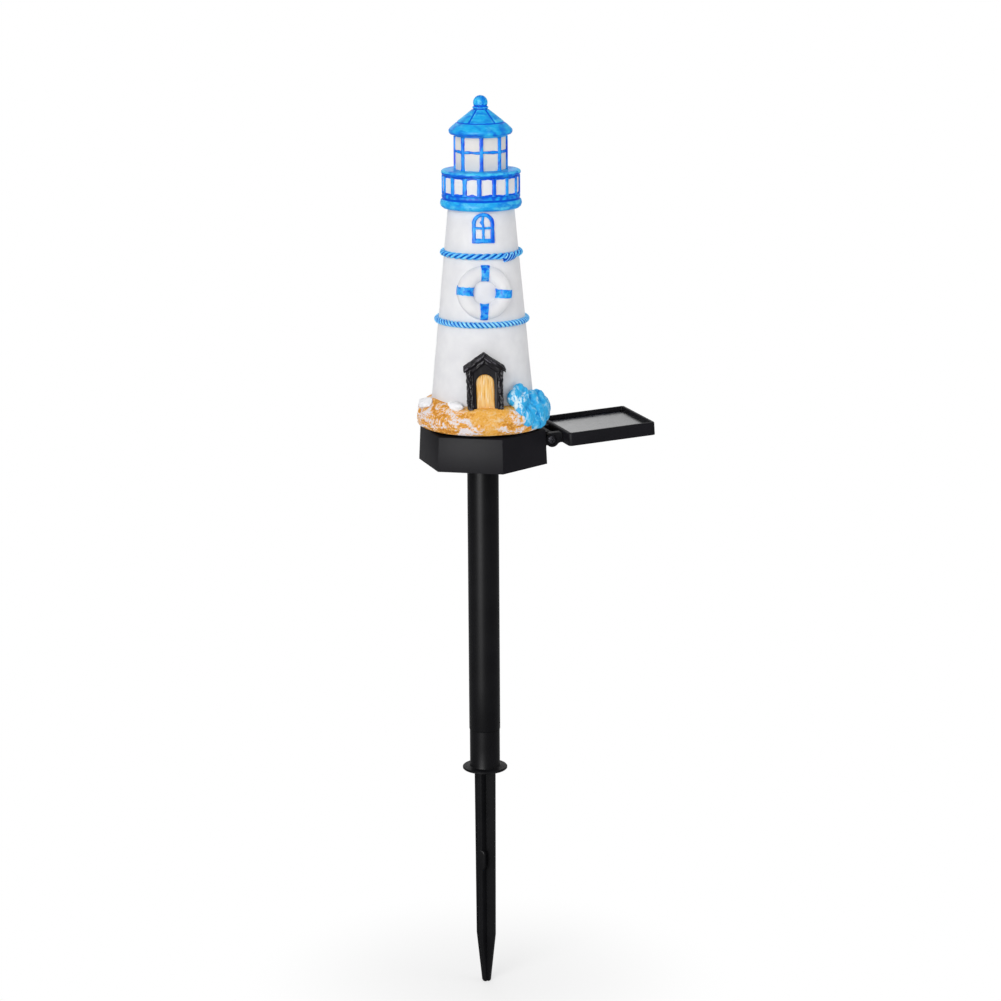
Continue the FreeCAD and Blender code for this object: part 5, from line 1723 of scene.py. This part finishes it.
@dataclass
class Gallery:
    """The blue ring, the white parapet with its posts, and the deck."""

    tower: Tower
    foot: float = 136.0
    ring_radius: float = 25.2
    ring_height: float = 6.2
    ledge_radius: float = 24.2
    ledge_height: float = 3.0
    parapet_radius: float = 23.4
    parapet_height: float = 11.1
    parapet_wall: float = 4.0
    deck_radius: float = 24.6
    deck_height: float = 3.5
    light_hole: float = 9.0
    count: int = 16
    start_deg: float = -97.9
    post_width: float = 2.4
    post_proud: float = 0.7

    @property
    def drum(self) -> tuple[float, float]:
        """The parapet's lower and upper edge."""
        low = self.foot + self.ring_height + self.ledge_height
        return low, low + self.parapet_height

    def ring(self) -> None:
        """Makes the rounded ring and the ledge over it."""
        top, foot = self.foot + self.ring_height, self.foot
        r, ledge = self.ring_radius, self.ledge_radius
        outline = [(self.light_hole, foot), (21.4, foot), (23.4, foot + 0.35), (24.7, foot + 1.4),
                   (r, foot + 2.9), (r, foot + 3.6), (24.9, top - 1.1), (24.3, top - 0.35),
                   (23.75, top + 0.05), (23.9, top + 0.5), (ledge, top + 0.9), (ledge, top + 2.1),
                   (23.9, top + 2.75), (23.4, top + 3.0), (self.light_hole, top + 3.0)]
        grid = turned(resampled(outline, 0.55), 220)
        swell = np.where(from_axis(grid) > 22, 0.1 * uneven(grid, 4.5, 81, (1, 1, 0.6)) - 0.1, 0)
        grid = pushed_out(grid, swell)
        z = grid[..., 2]
        on_ledge = 0.2 + 0.26 * uneven(grid, 2.6, 82)
        on_ring = 0.74 + 0.3 * uneven(grid, 6.0, 84, (1, 1, 0.4))
        below, seam, above = z < foot + 0.5, np.abs(z - top - 0.15) < 0.5, z > top - 0.4
        relief = np.select([below, seam, above], [0.4, 0.06, on_ledge], on_ring)
        self.tower.bond("gallery_ring_painted", Sketch().grid(grid, Wrap.RING, relief), BLUE_ACRYLIC, 50,
                        "gallery_ring")

    def parapet(self) -> None:
        """Makes the white drum."""
        low, high = self.drum
        loop = even_sided(self.parapet_radius, self.count, self.start_deg, 1.4)
        inner = loop * (1 - self.parapet_wall / self.parapet_radius)
        levels = ((loop, low), (loop, low + 1.5), (loop, high - 1.5), (loop, high), (inner, high),
                  (inner, low))
        self.tower.bond("gallery_parapet_casting", Sketch().grid(stacked(levels)), CAST_WHITE, 12,
                        "gallery_parapet")

    def posts(self, maker: BarRingMaker) -> None:
        """Stands the posts round the drum.

        Args:
            maker: Stands bars round a circle.
        """
        bar = bar_sketch(self.post_width, *self.drum, -0.8, self.post_proud, 91)
        mesh = maker.ring("gallery_posts_painted", bar, self.parapet_radius, self.count, self.start_deg, 0.2,
                          7, BLUE_UPRIGHT)
        self.tower.bond("gallery_posts_painted", mesh, BLUE_UPRIGHT, 60, "gallery_posts")

    def rims(self) -> None:
        """Paints the rims at the posts' feet and heads."""
        sketch = Sketch()
        angles = directions(288)
        # The drum's flats lie inside its corners, so the painted rim follows them.
        step = 2 * math.pi / self.count
        off = (angles - math.radians(self.start_deg) + step / 2) % step - step / 2
        flat = self.parapet_radius * math.cos(step / 2) / np.cos(step / 2 - np.abs(off))
        out, share = np.array([(-0.3, 0.0), (0.22, 0.0), (0.22, 0.8), (0.1, 1.0), (-0.3, 1.02)]).T
        for level, height, seed, side in zip(self.drum, (1.1, 1.0), (92, 93), (1, -1)):
            edge = height * (1 + 0.35 * uneven(polar(self.parapet_radius, angles, 0.0), 3.0, seed))
            points = polar(flat[:, None] + out, angles[:, None], level + side * edge[:, None] * share)
            sketch.grid(points, Wrap.RING, np.array([0.1, 0.12, 0.22, 0.3, 0.3]))
        self.tower.bond("parapet_painted_rims", sketch, BLUE_UPRIGHT, 50)

    def deck(self) -> None:
        """Makes the deck with its rounded rim."""
        low, r = self.drum[1], self.deck_radius
        high = low + self.deck_height
        outline = [(self.light_hole, low), (23.0, low), (23.6, low + 0.15), (24.2, low + 0.7), (r, low + 1.5),
                   (r, low + 2.2), (24.2, low + 2.95), (23.4, low + 3.35), (22.6, high),
                   (self.light_hole, high)]
        grid = turned(resampled(outline, 0.6), 200)
        radial = from_axis(grid)
        grid = pushed_out(grid, np.where(radial > 21, 0.12 * uneven(grid, 4.0, 95) - 0.12, 0))
        below = grid[..., 2] < low + 2.0 + 0.35 * uneven(grid, 3.0, 96)
        relief = np.select([below, radial > 23.4], [0.08 + 0.2 * unit(uneven(grid, 3.5, 97)), 0.85],
                           0.5 + 0.2 * uneven(grid, 6.0, 98))
        self.tower.bond("gallery_deck_painted", Sketch().grid(grid, Wrap.RING, relief), BLUE_ACRYLIC, 50,
                        "gallery_deck")

    def build(self, maker: BarRingMaker) -> None:
        """Makes the gallery's pieces in order.

        Args:
            maker: Stands bars round a circle.
        """
        self.ring()
        self.parapet()
        self.posts(maker)
        self.rims()
        self.deck()


@dataclass
class Lantern:
    """The lantern room, its bars, the roof and the finial."""

    tower: Tower
    foot: float = 159.8
    height: float = 20.2
    radius: float = 15.8
    wall: float = 2.2
    count: int = 8
    start_deg: float = -94.0
    mullion: float = 2.0
    mullion_proud: float = 0.8
    crossbar: float = 11.2
    crossbar_height: float = 1.8
    roof_height: float = 16.1
    eaves: float = 19.7
    seam_radius: float = 14.9
    seam_level: float = 8.5
    neck: float = 5.3
    grooves: tuple[float, ...] = (-125.5, -57.8, 2.0, 61.0, 120.0, 176.0)
    collar: float = 4.9
    ball: float = 4.45
    ball_foot: float = 4.1

    def room(self) -> None:
        """Makes the white room, open below and above."""
        high = self.foot + self.height
        outer = even_sided(self.radius, self.count, self.start_deg, 1.2)
        inner = outer * (1 - self.wall / self.radius)
        levels = [(outer, z) for z in np.linspace(self.foot, high, 15)] + [(inner, high), (inner, self.foot)]
        self.tower.bond("lantern_room_casting", Sketch().grid(stacked(levels)), PANE_WHITE, 30,
                        "lantern_room")

    def bars(self, maker: BarRingMaker) -> None:
        """Stands the mullions at the room's corners and paints the crossbar between them.

        Args:
            maker: Stands bars round a circle.
        """
        bar = bar_sketch(self.mullion, self.foot, self.foot + self.height, -0.9, self.mullion_proud, 101)
        mesh = maker.ring("lantern_mullions_painted", bar, self.radius, self.count, self.start_deg, 0.12, 3,
                          BLUE_UPRIGHT)
        self.tower.bond("lantern_mullions_painted", mesh, BLUE_UPRIGHT, 60, "lantern_bars")
        loop = even_sided(self.radius, self.count, self.start_deg, 0.6)
        outward = loop / np.linalg.norm(loop, axis=1)[:, None]
        flat = np.column_stack([loop, np.zeros(len(loop))])
        half = self.crossbar_height / 2 * (1 + 0.25 * uneven(flat, 2.4, 102))
        level = self.foot + self.crossbar + 0.35 * uneven(flat, 7.0, 103)
        section = ((-0.4, -1.0), (0.25, -1.0), (0.5, -0.6), (0.55, 0.0), (0.5, 0.6), (0.25, 1.0), (-0.4, 1.0))
        lines = [np.column_stack([loop + outward * out, level + half * up]) for out, up in section]
        relief = np.array([0.15, 0.2, 0.34, 0.46, 0.34, 0.2, 0.15])
        crossbar = Sketch().grid(np.stack(lines, axis=1), Wrap.RING, relief)
        self.tower.bond("lantern_crossbar_painted", crossbar, BLUE_UPRIGHT, 60)

    def roof(self) -> None:
        """Makes the roof with its rolled eaves, its cut seams and a painted highlight beside each seam."""
        foot, e = self.foot + self.height, self.eaves
        neck, seam = foot + self.roof_height, foot + self.seam_level
        eaves = [(13.6, foot), (15.9, foot), (16.1, foot + 0.7), (17.5, foot + 0.95), (18.8, foot + 1.35),
                 (e - 0.25, foot + 2.2), (e, foot + 3.2), (e - 0.1, foot + 4.0), (e - 0.6, foot + 4.7),
                 (17.2, foot + 6.5)]
        cone = np.linspace((self.seam_radius, seam), (self.neck, neck), 4)
        profile = np.vstack([eaves, cone, [(2.7, neck), (2.7, neck - 3.4)]])
        grid = turned(resampled(profile, 0.34), 420)
        radial, z = from_axis(grid), grid[..., 2]
        outside = (z > foot + 0.3) & (radial > self.neck - 0.1)
        off = np.stack([apart(direction_deg(grid), groove) for groove in self.grooves])
        off = np.take_along_axis(off, np.abs(off).argmin(axis=0)[None], axis=0)[0]
        across = np.radians(off) * radial
        on_cone = z > seam - 0.2
        upright = unit(1.6 - np.abs(across) / 0.48) * on_cone
        level = unit(1.5 - np.abs(z - seam) / 0.3) * (radial < self.seam_radius + 1.0)
        groove = np.maximum(upright, level) * outside
        # A painted highlight along one side of each seam on the cone.
        lit = unit(1 - np.abs(across - 1.15) / 0.45) * on_cone * outside
        grid = pushed_out(grid, np.where(outside, 0.1 * uneven(grid, 5.0, 111) - 0.1 - 0.35 * groove, 0))
        grid[..., 2] -= 0.3 * groove
        rim = unit(1 - np.abs(grid[..., 2] - foot - 1.6) / 1.6) * (radial > 15)
        rim = rim * (0.7 + 0.5 * uneven(grid, 3.0, 113))
        relief = 0.58 + 0.22 * uneven(grid, 4.0, 112, (1, 1, 0.5)) - 0.4 * rim + 0.3 * lit
        relief = unit(np.clip(relief, 0.16, 0.95) - 0.8 * groove)
        self.tower.bond("roof_painted", Sketch().grid(grid, Wrap.RING, relief), BLUE_ACRYLIC, 50, "roof")

    def finial(self) -> None:
        """Makes the collar with its two rings and the ball."""
        z = self.foot + self.height + self.roof_height
        c = self.collar
        ball_z = z + 2.4 + math.sqrt(self.ball ** 2 - self.ball_foot ** 2)
        sphere = [(self.ball * math.cos(a), ball_z + self.ball * math.sin(a))
                  for a in np.radians(np.linspace(-22, 90, 18))]
        collar = [(0, z), (c - 0.7, z), (c - 0.45, z + 0.35), (c - 0.5, z + 0.6), (c - 0.05, z + 0.85),
                  (c, z + 1.25), (c - 0.1, z + 1.6), (c - 0.5, z + 1.85), (c - 0.85, z + 2.1),
                  (c - 0.8, z + 2.4)]
        grid = turned(resampled(collar + sphere, 0.35, False), 96)
        up = grid[..., 2] - z
        on_ball, on_rings = up > 2.75, (up > 0.8) & (up < 1.65)
        relief = np.select([on_ball, on_rings], [0.68 + 0.4 * uneven(grid, 1.6, 115), 0.85], 0.05)
        self.tower.bond("finial_painted", Sketch().grid(grid, Wrap.DOME, relief), BLUE_ACRYLIC, 50, "finial")

    def build(self, maker: BarRingMaker) -> None:
        """Makes the lantern's pieces in order.

        Args:
            maker: Stands bars round a circle.
        """
        self.room()
        self.bars(maker)
        self.roof()
        self.finial()


# ---- studio
@dataclass
class Studio:
    """The pale floor, the soft lights and the camera that stands where the photo's did."""

    distance_mm: float = 1750.0
    height_mm: float = 583.6
    direction_deg: float = -107.5
    pitch_deg: float = -13.105
    roll_deg: float = 0.33
    axis_px: float = 482.7
    focal_px: float = 2856.3
    sensor_mm: float = 36.0
    floor_z_mm: float = -146.1
    floor_half_mm: float = 20000.0
    ambient: float = 0.56
    key_watts: float = 16.0
    fill_watts: float = 4.0
    sheen_watts: float = 84.0

    def camera(self) -> None:
        """Sets the camera up: turned aside so that the pole's axis falls where it does in the photo."""
        data = bpy.data.cameras.new("photo_camera")
        data.sensor_width = self.sensor_mm
        data.lens = self.focal_px * self.sensor_mm / PHOTO_SIDE
        camera = as_object("photo_camera", data)
        bpy.context.scene.camera = camera
        stand = math.radians(self.direction_deg)
        look = stand + math.pi - math.atan((PHOTO_SIDE / 2 - self.axis_px) / self.focal_px)
        place = Vector(polar(self.distance_mm, stand, self.height_mm)) * MM
        turn = (Matrix.Rotation(look - math.pi / 2, 4, "Z")
                @ Matrix.Rotation(math.radians(90 + self.pitch_deg), 4, "X")
                @ Matrix.Rotation(math.radians(-self.roll_deg), 4, "Z"))
        camera.matrix_world = Matrix.Translation(place) @ turn

    def lights(self) -> None:
        """Hangs the large soft lamps and sets the sky's even light."""
        aim = Vector((0, 0, 0.25))
        for name, place, size, watts in (
                ("key_softbox", (-1.15, -1.2, 1.15), 1.3, self.key_watts),
                ("fill_softbox", (1.3, -0.9, 0.5), 1.2, self.fill_watts),
                ("back_softbox", (0.2, 1.6, 1.1), 1.2, self.fill_watts),
                ("sheen_card", (-0.82, -0.9, 0.22), 0.7, self.sheen_watts)):
            data = bpy.data.lights.new(name, "AREA")
            data.shape, data.size, data.energy = "DISK", size, watts
            lamp = as_object(name, data)
            lamp.location = place
            lamp.rotation_euler = (aim - Vector(place)).to_track_quat("-Z", "Y").to_euler()
            # The card only puts a soft sheen on the housing's front face.
            lamp.visible_diffuse = name != "sheen_card"
            lamp.visible_camera = False
        world = bpy.data.worlds.new("studio_world")
        bpy.context.scene.world = world
        node = partial(add_node, emptied(world))
        ray = node("LightPath").node.outputs
        seen = node("Math", {0: ray["Is Camera Ray"], 1: ray["Is Transmission Ray"]}, operation="MAXIMUM")
        seen = node("Math", {0: seen, 1: ray["Is Glossy Ray"]}, operation="MAXIMUM")
        level = node("MapRange", {"Value": seen, "To Min": self.ambient})
        sky = node("Background", {"Color": (1, 1, 1, 1), "Strength": level})
        node("OutputWorld", {"Surface": sky})

    def floor(self) -> None:
        """Lays the floor: it takes the shadow near the object and is white further out."""
        corners = [(x * self.floor_half_mm, y * self.floor_half_mm, self.floor_z_mm)
                   for x, y in ((-1, -1), (1, -1), (1, 1), (-1, 1))]
        sweep = Sketch().add(np.array(corners), [(0, 1, 2, 3)])
        floor = in_place("studio_floor", sweep, placed((0, 0, 0)), 38)
        # White paper: a matt sheet near the object, and plain white to the camera further out.
        made = bpy.data.materials.new("pale_paper_sweep")
        node = partial(add_node, emptied(made))
        away = node("VectorMath", {0: node("TexCoord", out="Object")}, "Value", operation="LENGTH")
        far = node("MapRange", {"Value": away, "From Min": 0.06, "From Max": 0.22},
                   interpolation_type="SMOOTHSTEP")
        seen = node("Math", {0: far, 1: node("LightPath")}, operation="MULTIPLY")
        paper = node("BsdfDiffuse", {"Color": linear("#F7F7F7")})
        white = node("Emission", {"Color": (1, 1, 1, 1), "Strength": 1.0})
        node("OutputMaterial", {"Surface": node("MixShader", {0: seen, 1: paper, 2: white})})
        floor.data.materials.append(made)

    def build(self) -> None:
        """Sets the whole studio up."""
        self.camera()
        self.lights()
        self.floor()
        bpy.context.scene.view_settings.view_transform = "Standard"


def main() -> None:
    """Builds every piece in order and reports it."""
    logging.basicConfig(level=logging.INFO, format="%(name)s: %(message)s")
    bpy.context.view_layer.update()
    Studio().build()
    GroundStake().build()
    Pole().build()
    SolarHousing().build()
    tower = Tower()
    bar_rings = BarRingMaker()
    tower.build()
    Ropes(tower).build(RopeMaker())
    for kind in (LifeRing, Window, Doorway, RockyFoot, LooseRocks):
        kind(tower).build()
    for kind in (Gallery, Lantern):
        kind(tower).build(bar_rings)


if __name__ == "__main__":
    main()
